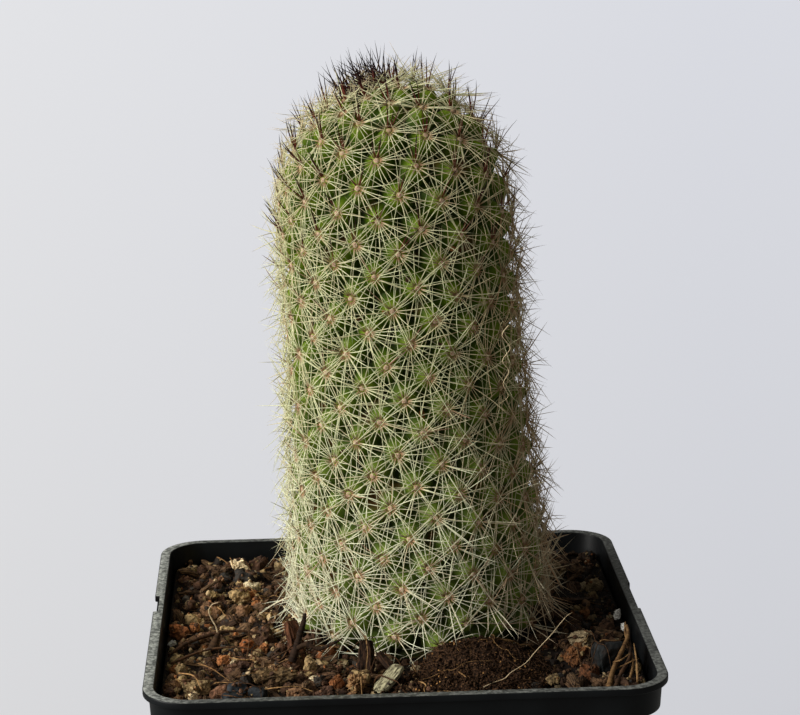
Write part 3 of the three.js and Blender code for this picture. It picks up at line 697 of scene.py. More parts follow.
HUSK = Grit("dried_flower_husk", shades=("#3d2415", "#6d4525", "#9c6a38"), foot_dust_and_shade=0.0, pit_mm=0.4)
PEAT = FinePeat()
CHIP_BARK = Bark("pine_bark_chip", shades=("#5a4231", "#7c5d43", "#97764f", "#4c382a"), streak="#20150e")
SHRED = Bark("bark_shred", shades=("#5f4632", "#7c6045", "#3f2e22"), streak="#1d130c")
PALE_BARK = Bark(
    "weathered_pale_bark", shades=("#cbc39d", "#cbc39d"), streak="#3a3324", streak_from=0.41, painted_light_left=1.0,
    damp_and_shade=1.0,
)
DARK_BARK = Bark("damp_dark_bark", shades=("#4d3524", "#4d3524"), streak="#170e08", streak_from=0.44)
RED_BARK = Bark("split_red_bark", shades=("#6d4630", "#6d4630"), streak="#241309", streak_from=0.42)
BLACK_ROOT = Bark("damp_dark_root", shades=("#33241a", "#46321f"), streak="#150d08", mottle_mm=0.4)
DARK_ROOT = Bark("dry_dark_root", shades=("#4a3322", "#6b4b31"), streak="#21150c")
TAN_ROOT = Bark("dry_tan_root", shades=("#8d6a43", "#b38c5c"), streak="#5d4127")
PALE_ROOT = Bark(
    "bare_pale_root", shades=("#e6cfa8", "#e6cfa8"), streak="#c39f70", streak_from=0.3, painted_light_left=1.0, damp_and_shade=1.0
)


@cache
def finish_material(finish: Surface) -> bpy.types.Material:
    """Give a finish's material, made once."""
    return finish.material()


# Shapes in common


class SeededStream:
    """The repeatable stream of numbers from 0 to 1 that also placed the grains in the solids."""

    def __init__(self, seed: int) -> None:
        """Start the stream."""
        self.state = seed & 0xFFFFFFFF

    def __call__(self) -> float:
        """Return the next number.

        Returns:
            A number from 0 to 1.
        """
        mask = 0xFFFFFFFF
        self.state = (self.state + 0x6D2B79F5) & mask
        t = self.state
        t = ((t ^ (t >> 15)) * (t | 1)) & mask
        t ^= (t + (((t ^ (t >> 7)) * (t | 61)) & mask)) & mask
        return ((t ^ (t >> 14)) & mask) / (mask + 1)


def plain_mesh(
    name: str,
    points: np.ndarray | list,
    faces: list,
    smooth: bool = True,
    edges: list[tuple[int, int]] | None = None,
) -> Piece:
    """Make a mesh object at the origin from points in millimetres.

    Args:
        name: The piece's name.
        points: Its points, in millimetres.
        faces: Its faces, as lists of point numbers.
        smooth: Whether its shading is smooth.
        edges: Its loose edges, where it has no faces.

    Returns:
        The object, linked to the scene.
    """
    mesh = bpy.data.meshes.new(name)
    mesh.from_pydata([tuple(p) for p in np.asarray(points, dtype=float) * MM], edges or [], faces)
    if smooth and faces:
        mesh.shade_smooth()
    piece = bpy.data.objects.new(name, mesh)
    bpy.context.scene.collection.objects.link(piece)
    return piece


def store(piece: Piece, **attributes: np.ndarray | list) -> None:
    """Store numbers or vectors on every point of a piece.

    Args:
        piece: The mesh object.
        **attributes: For each attribute one number or one vector for each point.
    """
    for name, values in attributes.items():
        data = np.asarray(values, dtype=np.float32)
        kind, field_name = ("FLOAT", "value") if data.ndim == 1 else ("FLOAT_VECTOR", "vector")
        piece.data.attributes.new(name, kind, "POINT").data.foreach_set(field_name, data.ravel())


def settle(piece: Piece) -> Piece:
    """Turn what a piece's modifiers make into its plain mesh.

    Args:
        piece: The object with its modifiers.

    Returns:
        The same object, with no modifier left.
    """
    graph = bpy.context.evaluated_depsgraph_get()
    whole = piece.evaluated_get(graph)
    made = bpy.data.meshes.new_from_object(whole, preserve_all_data_layers=True, depsgraph=graph)
    piece.modifiers.clear()
    piece.data = made
    return piece


def grow(piece: Piece, tree: GrowTree, values: dict[str, object]) -> Piece:
    """Run a Geometry Nodes tree on a piece and keep the plain mesh that it makes.

    Args:
        piece: The object that the tree starts from.
        tree: The tree.
        values: The tree's named inputs.

    Returns:
        The same object with its new mesh.
    """
    modifier = piece.modifiers.new(tree.name, "NODES")
    modifier.node_group = tree
    for item in tree.interface.items_tree:
        if item.item_type == "SOCKET" and item.in_out == "INPUT" and item.name in values:
            modifier[item.identifier] = values[item.name]
    return settle(piece)


def new_tree(
    name: str, inputs: dict[str, tuple[str, object]]
) -> tuple[GrowTree, Adder, bpy.types.NodeOutputs, bpy.types.Node]:
    """Start a Geometry Nodes tree with named inputs.

    Args:
        name: The tree's name.
        inputs: Each input's name, with its socket type and its default value or None.

    Returns:
        The tree, what adds a node to it, its inputs by name and its group output.
    """
    tree = bpy.data.node_groups.new(name, "GeometryNodeTree")
    tree.interface.new_socket("Geometry", in_out="INPUT", socket_type="NodeSocketGeometry")
    tree.interface.new_socket("Geometry", in_out="OUTPUT", socket_type="NodeSocketGeometry")
    for label, (kind, default) in inputs.items():
        socket = tree.interface.new_socket(label, in_out="INPUT", socket_type=kind)
        if default is not None:
            socket.default_value = default
    given = tree.nodes.new("NodeGroupInput").outputs
    return tree, partial(add_node, tree), given, tree.nodes.new("NodeGroupOutput")


def rounded_square(half: float, corner: float, steps: int) -> np.ndarray:
    """Lay out a square with rounded corners, anticlockwise.

    Args:
        half: Half its width, in millimetres.
        corner: The corner radius.
        steps: The stretches in each corner.

    Returns:
        Its points as rows of x and y.
    """
    points = []
    for quarter in range(4):
        for i in range(steps + 1):
            angle = (quarter + i / steps) * TURN / 4
            sign_x = 1 if quarter in (0, 3) else -1
            sign_y = 1 if quarter < 2 else -1
            x = sign_x * (half - corner) + corner * math.cos(angle)
            y = sign_y * (half - corner) + corner * math.sin(angle)
            points.append((x, y))
    return np.array(points)


def grid(rows: int, columns: int) -> tuple[list[Face], list[int]]:
    """Join rows of points to a sheet.

    Args:
        rows: The rows of faces.
        columns: The faces in each row.

    Returns:
        The faces, and the points of the sheet's edge in order.
    """
    row = columns + 1
    corners = [i * row + j for i in range(rows) for j in range(columns)]
    faces: list[Face] = [(a, a + 1, a + 1 + row, a + row) for a in corners]
    edge = list(range(columns)) + [i * row + columns for i in range(rows)]
    edge += [rows * row + j for j in range(columns, 0, -1)]
    edge += [i * row for i in range(rows, 0, -1)]
    return faces, edge


def loft_faces(rings: int, count: int) -> list[Face]:
    """Join rings of points to a skin that is closed by a flat cap at each end.

    Args:
        rings: The number of rings.
        count: The points in each ring.

    Returns:
        The faces.
    """
    faces: list[Face] = []
    for r in range(rings - 1):
        for i in range(count):
            a, b = r * count + i, r * count + (i + 1) % count
            faces.append((a, b, b + count, a + count))
    faces.append(tuple(reversed(range(count))))
    faces.append(tuple((rings - 1) * count + i for i in range(count)))
    return faces


def smooth_by_angle(piece: Piece, angle_deg: float) -> None:
    """Keep a piece's shading sharp at its hard edges.

    Args:
        piece: The mesh object.
        angle_deg: Edges that turn more than this stay sharp.
    """
    piece.data.shade_smooth()
    piece.data.set_sharp_from_angle(angle=math.radians(angle_deg))


def dress(piece: Piece, slot: str, *nodes: str) -> Piece:
    """Fix a finished piece to the body and hide the solids that it stands for.

    Args:
        piece: The piece, in place.
        slot: The record's material slot; not used.
        *nodes: The solids that it replaces.

    Returns:
        The same piece.
    """
    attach(piece, "root")
    if nodes:
        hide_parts(*nodes)
    return piece


# The pot


@dataclass
class LipNotch:
    """A stretch where the lip is narrower: which side it is on, how deep it is and where it runs."""

    side: int
    depth: float
    start: float
    end: float


@dataclass
class NurseryPot:
    """The moulded square pot: a shell with a flat lip, a short collar and drain holes."""

    height: float = 65.0
    lip_half: float = 35.0
    lip_thick: float = 1.0
    lip_corner: float = 6.5
    collar_half: float = 34.2
    collar_corner: float = 5.6
    collar_drop: float = 4.6
    shoulder_half: float = 32.4
    foot_half: float = 25.4
    foot_corner: float = 4.6
    foot_bevel: float = 0.6
    wall: float = 0.9
    floor: float = 1.5
    mouth_half: float = 33.5
    mouth_corner: float = 5.1
    notches: tuple[LipNotch, ...] = (LipNotch(-1, 0.65, 1.9, 8.5), LipNotch(1, 0.3, -3.0, 8.0))
    drain_radius: float = 3.6
    drain_offset: float = 14.5
    drain_sides: int = 32
    corner_steps: int = 18
    edge_round: float = 0.24
    edge_segments: int = 3
    edge_from_deg: float = 40.0  # an edge that turns more than this is rounded
    sharp_deg: float = 38.0
    shoulder_step: float = 0.6  # how far under the collar the taper ends
    collar_ease: float = 0.2
    lip_ease: float = 0.1
    mouth_draft: float = 0.3

    @property
    def collar_foot(self) -> float:
        """The height of the collar's lower edge."""
        return self.height - self.collar_drop

    @property
    def mouth_in(self) -> float:
        """Half the clear width at the foot of the lip."""
        return self.mouth_half - self.mouth_draft

    def inside(self, z: float) -> tuple[float, float]:
        """Give half the clear width and the corner radius inside the tapering wall at a height.

        Args:
            z: The height over the pot's underside.

        Returns:
            Half the width and the radius.
        """
        share = z / self.collar_foot
        half = self.foot_half + (self.shoulder_half - self.foot_half) * share - self.wall
        return half, self.foot_corner + (self.collar_corner - self.foot_corner) * share - self.wall

    def profile(self) -> list[Point]:
        """List the shell's rings as half width, corner radius and height: out, up, over the lip and in.

        Returns:
            The rings in order.
        """
        shoulder_in = self.inside(self.collar_foot - self.wall)
        floor_in = self.inside(self.floor)
        lip_under = self.height - self.lip_thick
        return [
            (self.foot_half - self.foot_bevel, self.foot_corner - self.foot_bevel, 0.0),
            (self.foot_half, self.foot_corner, self.foot_bevel),
            (self.shoulder_half, self.collar_corner, self.collar_foot - self.shoulder_step),
            (self.collar_half - self.collar_ease, self.collar_corner, self.collar_foot),
            (self.collar_half, self.collar_corner, lip_under),
            (self.lip_half, self.lip_corner, lip_under + self.lip_ease),
            (self.lip_half, self.lip_corner, self.height),
            (self.mouth_half, self.mouth_corner, self.height),
            (self.mouth_in, self.mouth_corner, self.collar_foot - self.lip_ease),
            (shoulder_in[0], shoulder_in[1], self.collar_foot - self.wall),
            (floor_in[0], floor_in[1], self.floor),
        ]

    def cutter(self) -> Piece:
        """Make the notches of the lip and the drain holes as one cutter.

        Returns:
            The cutter.
        """
        points: list[Point] = []
        faces: list[Face] = []
        prisms: list[tuple[list[tuple[float, float]], float, float]] = []
        for notch in self.notches:
            near = notch.side * (self.lip_half - notch.depth)
            far = notch.side * (self.lip_half + 3)
            low, high = min(near, far), max(near, far)
            box = [(low, notch.start), (high, notch.start), (high, notch.end), (low, notch.end)]
            prisms.append((box, self.height - 2, self.height + 2))
        off, wide = self.drain_offset, self.drain_radius
        angles = [i * TURN / self.drain_sides for i in range(self.drain_sides)]
        for x, y in [(0.0, 0.0)] + [(a * off, b * off) for a in (-1, 1) for b in (-1, 1)]:
            ring = [(x + wide * math.cos(a), y + wide * math.sin(a)) for a in angles]
            prisms.append((ring, -3.0, 4.0))
        for ring, low, high in prisms:
            start = len(points)
            points.extend((x, y, z) for z in (low, high) for x, y in ring)
            faces.extend(tuple(start + k for k in face) for face in loft_faces(2, len(ring)))
        return plain_mesh("pot_cutter", points, faces, smooth=False)

    def build(self) -> Piece:
        """Make and dress the pot.

        Returns:
            The dressed piece.
        """
        rings = [
            [(x, y, z) for x, y in rounded_square(half, corner, self.corner_steps)]
            for half, corner, z in self.profile()
        ]
        faces = loft_faces(len(rings), len(rings[0]))
        pot = plain_mesh("nursery_pot", [p for ring in rings for p in ring], faces, smooth=False)
        cutter = self.cutter()
        cut = pot.modifiers.new("cut", "BOOLEAN")
        cut.operation = "DIFFERENCE"
        cut.solver = "EXACT"
        cut.object = cutter
        edges = pot.modifiers.new("edges", "BEVEL")
        edges.width = self.edge_round * MM
        edges.segments = self.edge_segments
        edges.limit_method = "ANGLE"
        edges.angle_limit = math.radians(self.edge_from_deg)
        settle(pot)
        bpy.data.objects.remove(cutter)
        smooth_by_angle(pot, self.sharp_deg)
        pot.data.materials.clear()
        pot.data.materials.append(finish_material(MouldedPlastic()))
        return dress(pot, "pot_plastic", "pot")


# The plant


@dataclass
class Tubercle:
    """One tubercle: its tip's place, its three directions, its height over the soil, its size and youth."""

    tip: Vector
    out: Vector
    right: Vector
    up: Vector
    height: float
    share: float
    youth: float

    def along(self, azimuth: float, rise: float) -> Vector:
        """The direction at an angle round the tubercle, raised from its face."""
        flat = self.right * math.cos(azimuth) + self.up * math.sin(azimuth)
        return flat * math.cos(rise) + self.out * math.sin(rise)


@dataclass
class StemForm:
    """The stem as a leaning, slightly bent column with a domed top, and the spiral rows of its tubercles."""

    lean: float = 0.05
    bend_from: float = 55.0
    bend: float = 0.29
    height: float = 78.0
    shoulder: float = 57.0
    radius: float = 16.45
    bulge: float = 1.7
    bulge_height: float = 10.0
    bulge_spread: float = 20.0
    dome_power: float = 2.8
    area: float = 23.5
    first: float = 2.9
    below: int = 10  # tubercles under the first, down to the soil
    young_area: float = 2.2
    young_reach: float = 12.0  # tubercles grow to full size over this length of the profile
    young_bend: float = 0.35
    young_zone: float = 24.0  # spines stand up more and more over this length to the growing point
    neck_radius: float = 14.6
    neck_tip: float = 13.2
    neck_depth: float = 12.0
    neck_end: float = 14.5

    def __post_init__(self) -> None:
        """Measure the profile from just over the soil to the growing point."""
        self.heights = np.linspace(0.4, self.height, 3000)
        girths = np.array([self.girth(s) for s in self.heights])
        steps = np.hypot(np.diff(self.heights), np.diff(girths))
        self.lengths = np.concatenate([[0.0], np.cumsum(steps)])

    def girth(self, s: float) -> float:
        """The radius at the tubercle tips at a height over the soil."""
        swell = self.bulge * math.exp(-(((s - self.bulge_height) / self.bulge_spread) ** 2))
        t = max(0.0, (s - self.shoulder) / (self.height - self.shoulder))
        return (self.radius + swell) * math.sqrt(max(0.0, 1 - t**self.dome_power))

    def slope(self, s: float) -> float:
        """How the radius changes with height."""
        return (self.girth(s + 0.01) - self.girth(s - 0.01)) / 0.02

    def to_top(self, s: float) -> float:
        """The length of the profile that is left from a height to the growing point."""
        return self.lengths[-1] - float(np.interp(s, self.heights, self.lengths))

    def size(self, s: float) -> float:
        """How large the tubercles are at a height, as a share of the full size."""
        share = min(1.0, self.to_top(s) / self.young_reach)
        return (1 + self.young_bend) * share / (share + self.young_bend)

    def point(self, s: float, radius: float, azimuth: float) -> Vector:
        """A point at a radius from the leaning centre line, in millimetres.

        Args:
            s: The height over the soil.
            radius: How far it is from the centre line.
            azimuth: Its angle round the stem.

        Returns:
            The point.
        """
        over = max(0.0, s - self.bend_from)
        reach = self.height - self.bend_from
        x = STEM_FOOT[0] - self.lean * s - self.bend * over * over / (2 * reach)
        tilt = math.atan(self.lean + self.bend * over / reach)
        across = radius * math.cos(azimuth)
        y = STEM_FOOT[1] + radius * math.sin(azimuth)
        return Vector((x + across * math.cos(tilt), y, SOIL_TOP + s + across * math.sin(tilt)))

    def tubercles(self) -> list[Tubercle]:
        """Place every tubercle from the lowest to the growing point.

        Returns:
            The tubercles, the lowest first.
        """
        placed = []
        s = self.first - self.below * self.area / (TURN * self.girth(self.first))
        n = -self.below
        while s < self.height - 0.25 and n < 900:
            radius = self.girth(s)
            share = self.size(s)
            azimuth = -n * GOLDEN_ANGLE
            slope = self.slope(s)
            long = math.hypot(1, slope)
            tip = self.point(s, radius, azimuth)
            inner = self.point(s + slope / long, radius - 1 / long, azimuth)
            out = (tip - inner).normalized()
            right = Vector((-math.sin(azimuth), math.cos(azimuth), 0.0))
            right = (right - out * right.dot(out)).normalized()
            youth = max(0.0, 1 - self.to_top(s) / self.young_zone)
            placed.append(Tubercle(tip, out, right, out.cross(right), s, share, youth))
            step = max(self.area * share * share, self.young_area) / (TURN * max(radius, 0.6))
            s += step / math.hypot(1, (self.girth(s + 0.01) - radius) / 0.01)
            n += 1
        return placed


def relief_tree() -> GrowTree:
    """Build the tree that sinks a smooth stem between the tips of its tubercles.

    Returns:
        The tree. It stores how deep each point is sunk, from 0 to 1, as "sunk".
    """
    inputs = {
        "Tips": ("NodeSocketObject", None),
        "Reach": ("NodeSocketFloat", 2.95 * MM),
        "Depth": ("NodeSocketFloat", 3.1 * MM),
        "Roundness": ("NodeSocketFloat", 0.3),
        "Skin": ("NodeSocketMaterial", None),
    }
    tree, add, given, group_out = new_tree("tubercle_relief", inputs)
    tips = add(Kind.OBJECT, {"Object": given["Tips"]})
    near = add(Kind.NEAREST, tips.outputs["Geometry"])
    share = add(Kind.NUMBER, "share")
    mask = add(Kind.NUMBER, "knobbly")
    outward = add(Kind.VECTOR, "outward")
    round_tip = given["Roundness"]
    reach = add(Kind.TIMES, (given["Reach"], share))
    far = add(Kind.OVER, (near.outputs["Distance"], reach))
    # A cone with a rounded tip: the root of the squared distance and the squared roundness.
    soft = add(Kind.TIMES, (round_tip, round_tip))
    square = add(Kind.TIMES_PLUS, (far, far, soft))
    root = add(Kind.ROOT, square)
    cone = add(Kind.MINUS, (root, round_tip))
    steep = add(Kind.TIMES, (cone, 1.25))
    held = add(Kind.CLAMP, steep)
    sunk = add(Kind.TIMES, (held, mask))
    depth = add(Kind.TIMES, (sunk, given["Depth"]))
    scaled = add(Kind.TIMES, (depth, share))
    inward = add(Kind.TIMES, (scaled, -1.0))
    shift = add(Kind.SCALE_VECTOR, (outward, inward))
    # The neck under the lowest tubercles is painted as dark as the deepest valleys, as painted shade at the
    # stem's foot.
    bare = add(Kind.MINUS, (1.0, mask))
    shown = add(Kind.PLUS, (sunk, bare))
    stored = add(Kind.STORE, {"Geometry": given["Geometry"], "Name": "sunk", "Value": shown})
    moved = add(Kind.MOVE, {"Geometry": stored, "Offset": shift})
    whole = add(Kind.REALIZE, moved)
    dressed = add(Kind.FINISH, {"Geometry": whole, "Material": given["Skin"]})
    feed(group_out, dressed)
    return tree


def spine_tree() -> GrowTree:
    """Build the tree that stands a tapered, slightly bent spine on every point.

    Returns:
        The tree. It reads each point's "aim", "size", "turn" and "bend", keeps "tone", "age" and "dark" for
        the finish, and stores "along".
    """
    inputs = {
        "Sides": ("NodeSocketInt", 4),
        "Stretches": ("NodeSocketInt", 4),
        "Bluntness": ("NodeSocketFloat", 0.45),
        "Horn": ("NodeSocketMaterial", None),
    }
    tree, add, given, group_out = new_tree("standing_spines", inputs)
    sides = {"Vertices": given["Sides"], "Side Segments": given["Stretches"]}
    cone = add(Kind.CONE, {**sides, "Radius Top": 0.0, "Radius Bottom": 1.0, "Depth": 1.0})
    place = add(Kind.POSITION)
    parts = add(Kind.SPLIT, place)
    up = parts.outputs["Z"]
    stored = add(Kind.STORE, {"Geometry": cone, "Name": "along", "Value": up})
    # The shaft keeps most of its thickness and sharpens only near the tip.
    left = add(Kind.MINUS, (1.0, up))
    power = add(Kind.MINUS, (0.0, given["Bluntness"]))
    swollen = add(Kind.POWER, (left, power))
    blunt = add(Kind.LEAST, (swollen, 2.4))
    x = add(Kind.TIMES, (parts.outputs["X"], blunt))
    y = add(Kind.TIMES, (parts.outputs["Y"], blunt))
    shaped = add(Kind.JOIN, (x, y, up))
    tapered = add(Kind.MOVE, {"Geometry": stored, "Position": shaped})
    soft = add(Kind.SMOOTH, tapered)
    points = add(Kind.POINTS, given["Geometry"])
    aim = add(Kind.VECTOR, "aim")
    size = add(Kind.VECTOR, "size")
    turn = add(Kind.NUMBER, "turn")
    aimed = add(Kind.AIM, {"Vector": aim})
    twist = add(Kind.TWIST, {"Axis": (0, 0, 1), "Angle": turn})
    turned = add(Kind.TURN_BY, {"Rotation": aimed, "Rotate By": twist})
    standing = add(Kind.INSTANCES, {"Points": points, "Instance": soft, "Rotation": turned, "Scale": size})
    whole = add(Kind.REALIZE, standing)
    # Each spine bows sideways by its own "bend", most at its middle.
    along = add(Kind.NUMBER, "along")
    bend = add(Kind.VECTOR, "bend")
    rest = add(Kind.MINUS, (1.0, along))
    arch = add(Kind.TIMES, (along, rest))
    full = add(Kind.TIMES, (arch, 4.0))
    shift = add(Kind.SCALE_VECTOR, (bend, full))
    bowed = add(Kind.MOVE, {"Geometry": whole, "Offset": shift})
    dressed = add(Kind.FINISH, {"Geometry": bowed, "Material": given["Horn"]})
    feed(group_out, dressed)
    return tree


def pad_tree() -> GrowTree:
    """Build the tree that lays a small uneven pad of felt on every point.

    Returns:
        The tree. It reads each point's "aim" and "size", and keeps "age" for the finish.
    """
    inputs = {
        "Fineness": ("NodeSocketInt", 2),
        "Unevenness": ("NodeSocketFloat", 0.16 * MM),
        "Tuft": ("NodeSocketFloat", 0.28 * MM),
        "Felt": ("NodeSocketMaterial", None),
    }
    tree, add, given, group_out = new_tree("felt_pads", inputs)
    ball = add(Kind.BALL, {"Radius": 1.0, "Subdivisions": given["Fineness"]})
    points = add(Kind.POINTS, given["Geometry"])
    aim = add(Kind.VECTOR, "aim")
    size = add(Kind.VECTOR, "size")
    aimed = add(Kind.AIM, {"Vector": aim})
    laid = add(Kind.INSTANCES, {"Points": points, "Instance": ball, "Rotation": aimed, "Scale": size})
    whole = add(Kind.REALIZE, laid)
    place = add(Kind.POSITION)
    scale = add(Kind.OVER, (1.0, given["Tuft"]))
    lumps = add(Kind.NOISE, (place, scale, 2.0))
    centred = add(Kind.LESS_VECTOR, (lumps.outputs["Color"], (0.5, 0.5, 0.5)))
    double = add(Kind.TIMES, (given["Unevenness"], 2.0))
    shift = add(Kind.SCALE_VECTOR, (centred, double))
    moved = add(Kind.MOVE, {"Geometry": whole, "Offset": shift})
    soft = add(Kind.SMOOTH, moved)
    dressed = add(Kind.FINISH, {"Geometry": soft, "Material": given["Felt"]})
    feed(group_out, dressed)
    return tree


@dataclass
class SpineRow:
    """One spine before it is grown: its foot, its direction, its length and width, and its colouring."""

    foot: Vector
    aim: Vector
    length: float
    width: float
    tone: float
    age: float
    dark: float
    bend: Vector


@dataclass
class Cactus:
    """The plant: a stem with tubercles, the felt on their tips, its spines and the husks of old flowers."""

    form: StemForm = field(default_factory=StemForm)
    rings: int = 250
    sectors: int = 300
    radials: int = 21
    radial_length: tuple[float, float] = (4.5, 7.8)
    radial_width: float = 0.075
    foot_ring: float = 0.5  # the spines of a tubercle stand in a ring round its felt
    central_length: float = 4.7
    central_width: float = 0.12
    upper_from: float = 56.0  # height over the soil above which tubercles bear dark young centrals
    middle_from: float = 40.0
    lifts_deg: tuple[int, ...] = (0, 12, 24, 36, 48)  # a spine is lifted off what is in its way
    crown_spines: int = 100
    crown_ring: float = 3.9
    crown_width: float = 0.1
    crown_length: tuple[float, float] = (4.0, 6.6)
    crown_shift: float = 0.6  # the tangle lies a little to the right of the growing point
    seed: int = 41
    husk_seed: int = 500
    husk_size: Point = (0.5, 0.42, 1.15)  # half its width, depth and length
    # Husks stay in the clefts where flowers were: across and up, in millimetres.
    husks: tuple[tuple[float, float], ...] = (
        (1.8, 116.0),
        (-4.7, 110.4),
        (-1.3, 111.6),
        (6.0, 106.6),
        (-8.5, 122.8),
        (7.8, 119.7),
        (-7.2, 91.5),
        (11.0, 81.6),
        (1.7, 72.6),
        (-12.9, 103.0),
        (3.4, 97.2),
    )

    def stem(self, tubercles: list[Tubercle]) -> Piece:
        """Make the stem's skin with its relief.

        Args:
            tubercles: The tubercles that stand out of it.

        Returns:
            The skin.
        """
        form = self.form
        heights = [-form.neck_end, -form.neck_end, -form.neck_depth, -6.0, -2.0, -0.6]
        tip, neck = form.neck_tip, form.neck_radius
        radii = [0.01, tip * 0.7, tip, tip + 0.7, neck - 0.2, neck]
        shell = [0.0] * len(heights)
        # Steps of even length along the profile, from just over the soil to the growing point.
        for length in np.linspace(0, form.lengths[-1] - 0.12, self.rings):
            s = float(np.interp(length, form.lengths, form.heights))
            foot = unit(s / 1.3)
            heights.append(s)
            radii.append(form.girth(s) * foot + (neck + 0.4) * (1 - foot))
            shell.append(min(1.0, foot * 1.4))
        points, outward, share, knobbly = [], [], [], []
        for s, radius, knob in zip(heights, radii, shell):
            slope = form.slope(s) if s > form.shoulder else 0.0
            long = math.hypot(1, slope)
            size = max(0.2, form.size(s)) if s > form.shoulder else 1.0
            for i in range(self.sectors):
                azimuth = TURN * i / self.sectors
                here = form.point(s, radius, azimuth)
                inner = form.point(s + slope / long, radius - 1 / long, azimuth)
                points.append(here)
                outward.append((here - inner).normalized())
                share.append(size)
                knobbly.append(knob)
        stem = plain_mesh("cactus_stem", points, loft_faces(len(heights), self.sectors))
        store(stem, outward=[tuple(v) for v in outward], share=share)
        store(stem, knobbly=knobbly)
        tips = plain_mesh("tubercle_tips", [t.tip for t in tubercles], [])
        grow(stem, relief_tree(), {"Tips": tips, "Skin": finish_material(CactusSkin())})
        bpy.data.objects.remove(tips)
        return stem

    def spines(self, tubercles: list[Tubercle], mound: PeatMound) -> dict[SpineKind, list[SpineRow]]:
        """Lay out every spine with its seeded variation.

        Args:
            tubercles: The tubercles that bear them.
            mound: The peat that they have to clear.

        Returns:
            The radial and the central spines.
        """
        chance = np.random.default_rng(self.seed)
        rows: dict[SpineKind, list[SpineRow]] = {kind: [] for kind in SpineKind}
        for tubercle in tubercles:
            crown = unit((0.75 - tubercle.share) / 0.5)
            age = 1 - tubercle.height / self.form.height
            # The side that faces the light has the densest spines, the more so the older they are.
            sunny = max(0.0, -tubercle.out.x)
            count = self.radials + int(chance.integers(-2, 3))
            count += int(3 * tubercle.youth) - int(5 * crown) + round(5 * age * sunny)
            start = chance.uniform(0, TURN)
            lean = Vector(chance.normal(0, 0.13, 3))
            rows[SpineKind.RADIAL] += self.radial_spines(tubercle, count, start, lean, chance, mound)
            rows[SpineKind.CENTRAL] += self.central_spines(tubercle, crown, lean, chance, mound)
        rows[SpineKind.CENTRAL].extend(self.crown_tangle(chance))
        return rows

    def radial_spines(
        self, tubercle: Tubercle, count: int, start: float, lean: Vector, chance: Chance, mound: PeatMound
    ) -> list[SpineRow]:
        """Lay out the ring of pale spines on a tubercle.

        Args:
            tubercle: The tubercle that bears them.
            count: How many it bears.
            start: The angle of the first one round the tubercle.
            lean: How far they all lean over.
            chance: The seeded generator.
            mound: The peat that they have to clear.

        Returns:
            The spines.
        """
        age = 1 - tubercle.height / self.form.height
        width = self.radial_width * (0.92 + 0.24 * age)
        low, high = self.radial_length
        rows = []
        for k in range(count):
            azimuth = start + TURN * (k + chance.uniform(-0.48, 0.48)) / count
            rise = math.radians(2 + 22 * chance.beta(1.3, 2.4) + 10 * tubercle.youth**2)
            # One in ten stands out from the rest.
            if chance.random() < 0.1:
                rise += math.radians(14)
            # The side spines are the longest, and those that point up are a little shorter.
            length = (low + (high - low) * chance.beta(2, 2)) * (1 - 0.1 * max(0.0, math.sin(azimuth)))
            length *= (0.8 + 0.2 * tubercle.share) * (1 + 0.1 * age)
            # The lowest spines stay short, as they're pressed against the soil.
            length *= 0.72 + 0.28 * min(1.0, tubercle.height / 9)
            rows.append(self.spine(tubercle, azimuth, rise, length, width, lean, chance, mound))
        return [row for row in rows if row]

    def central_spines(
        self, tubercle: Tubercle, crown: float, lean: Vector, chance: Chance, mound: PeatMound
    ) -> list[SpineRow]:
        """Lay out the few darker spines in the middle of a tubercle.

        Args:
            tubercle: The tubercle that bears them.
            crown: How near it is to the growing point, from 0 to 1.
            lean: How far its spines lean over.
            chance: The seeded generator.
            mound: The peat that they have to clear.

        Returns:
            The spines.
        """
        upper = tubercle.height > self.upper_from
        # They are fewer and paler on the shaded side.
        shade = max(0.0, tubercle.out.x)
        if upper:
            count = 1 + int(chance.random() < 0.5 + tubercle.youth)
            count += int(chance.random() < 0.25 + tubercle.youth) + int(crown > 0.3)
            dark, fan, size = chance.uniform(0.78, 0.9) - 0.12 * shade, 34, 1.0
        elif tubercle.height > self.middle_from:
            count = int(chance.random() < 0.75 - 0.5 * shade)
            dark, fan, size = chance.uniform(0.42, 0.66), 70, 0.95
        else:
            count = int(chance.random() < 0.4 - 0.3 * shade)
            dark, fan, size = chance.uniform(0.3, 0.45), 150, 0.85
        rows = []
        for _ in range(count):
            azimuth = math.radians(90 + chance.uniform(-fan, fan))
            rise = math.radians(chance.uniform(14, 44))
            # On the upper stem they stand upright, however much their tubercle looks up.
            if upper:
                rise += 0.75 * math.asin(max(0.0, tubercle.out.z))
            length = self.central_length * size * chance.uniform(0.75, 1.15)
            width = self.central_width * (0.55 + 0.45 * min(1.0, dark / 0.78))
            rows.append(self.spine(tubercle, azimuth, rise, length, width, lean, chance, mound, dark))
        return [row for row in rows if row]

    def spine(
        self,
        tubercle: Tubercle,
        azimuth: float,
        rise: float,
        length: float,
        width: float,
        lean: Vector,
        chance: Chance,
        mound: PeatMound,
        dark: float = 0.0,
    ) -> SpineRow | None:
        """Lay out one spine, lifted where the soil is in its way, or none where it finds no room.

        Args:
            tubercle: The tubercle that bears it.
            azimuth: Its angle round the tubercle.
            rise: Its angle from the tubercle's face.
            length: Its length.
            width: Its radius at the root.
            lean: How far all spines of this tubercle lean over.
            chance: The seeded generator.
            mound: The peat that it has to clear.
            dark: How dark it is, from 0 to 1.

        Returns:
            The spine, or None.
        """
        flat = tubercle.right * math.cos(azimuth) + tubercle.up * math.sin(azimuth)
        foot = tubercle.tip + flat * self.foot_ring * tubercle.share - tubercle.out * 0.15
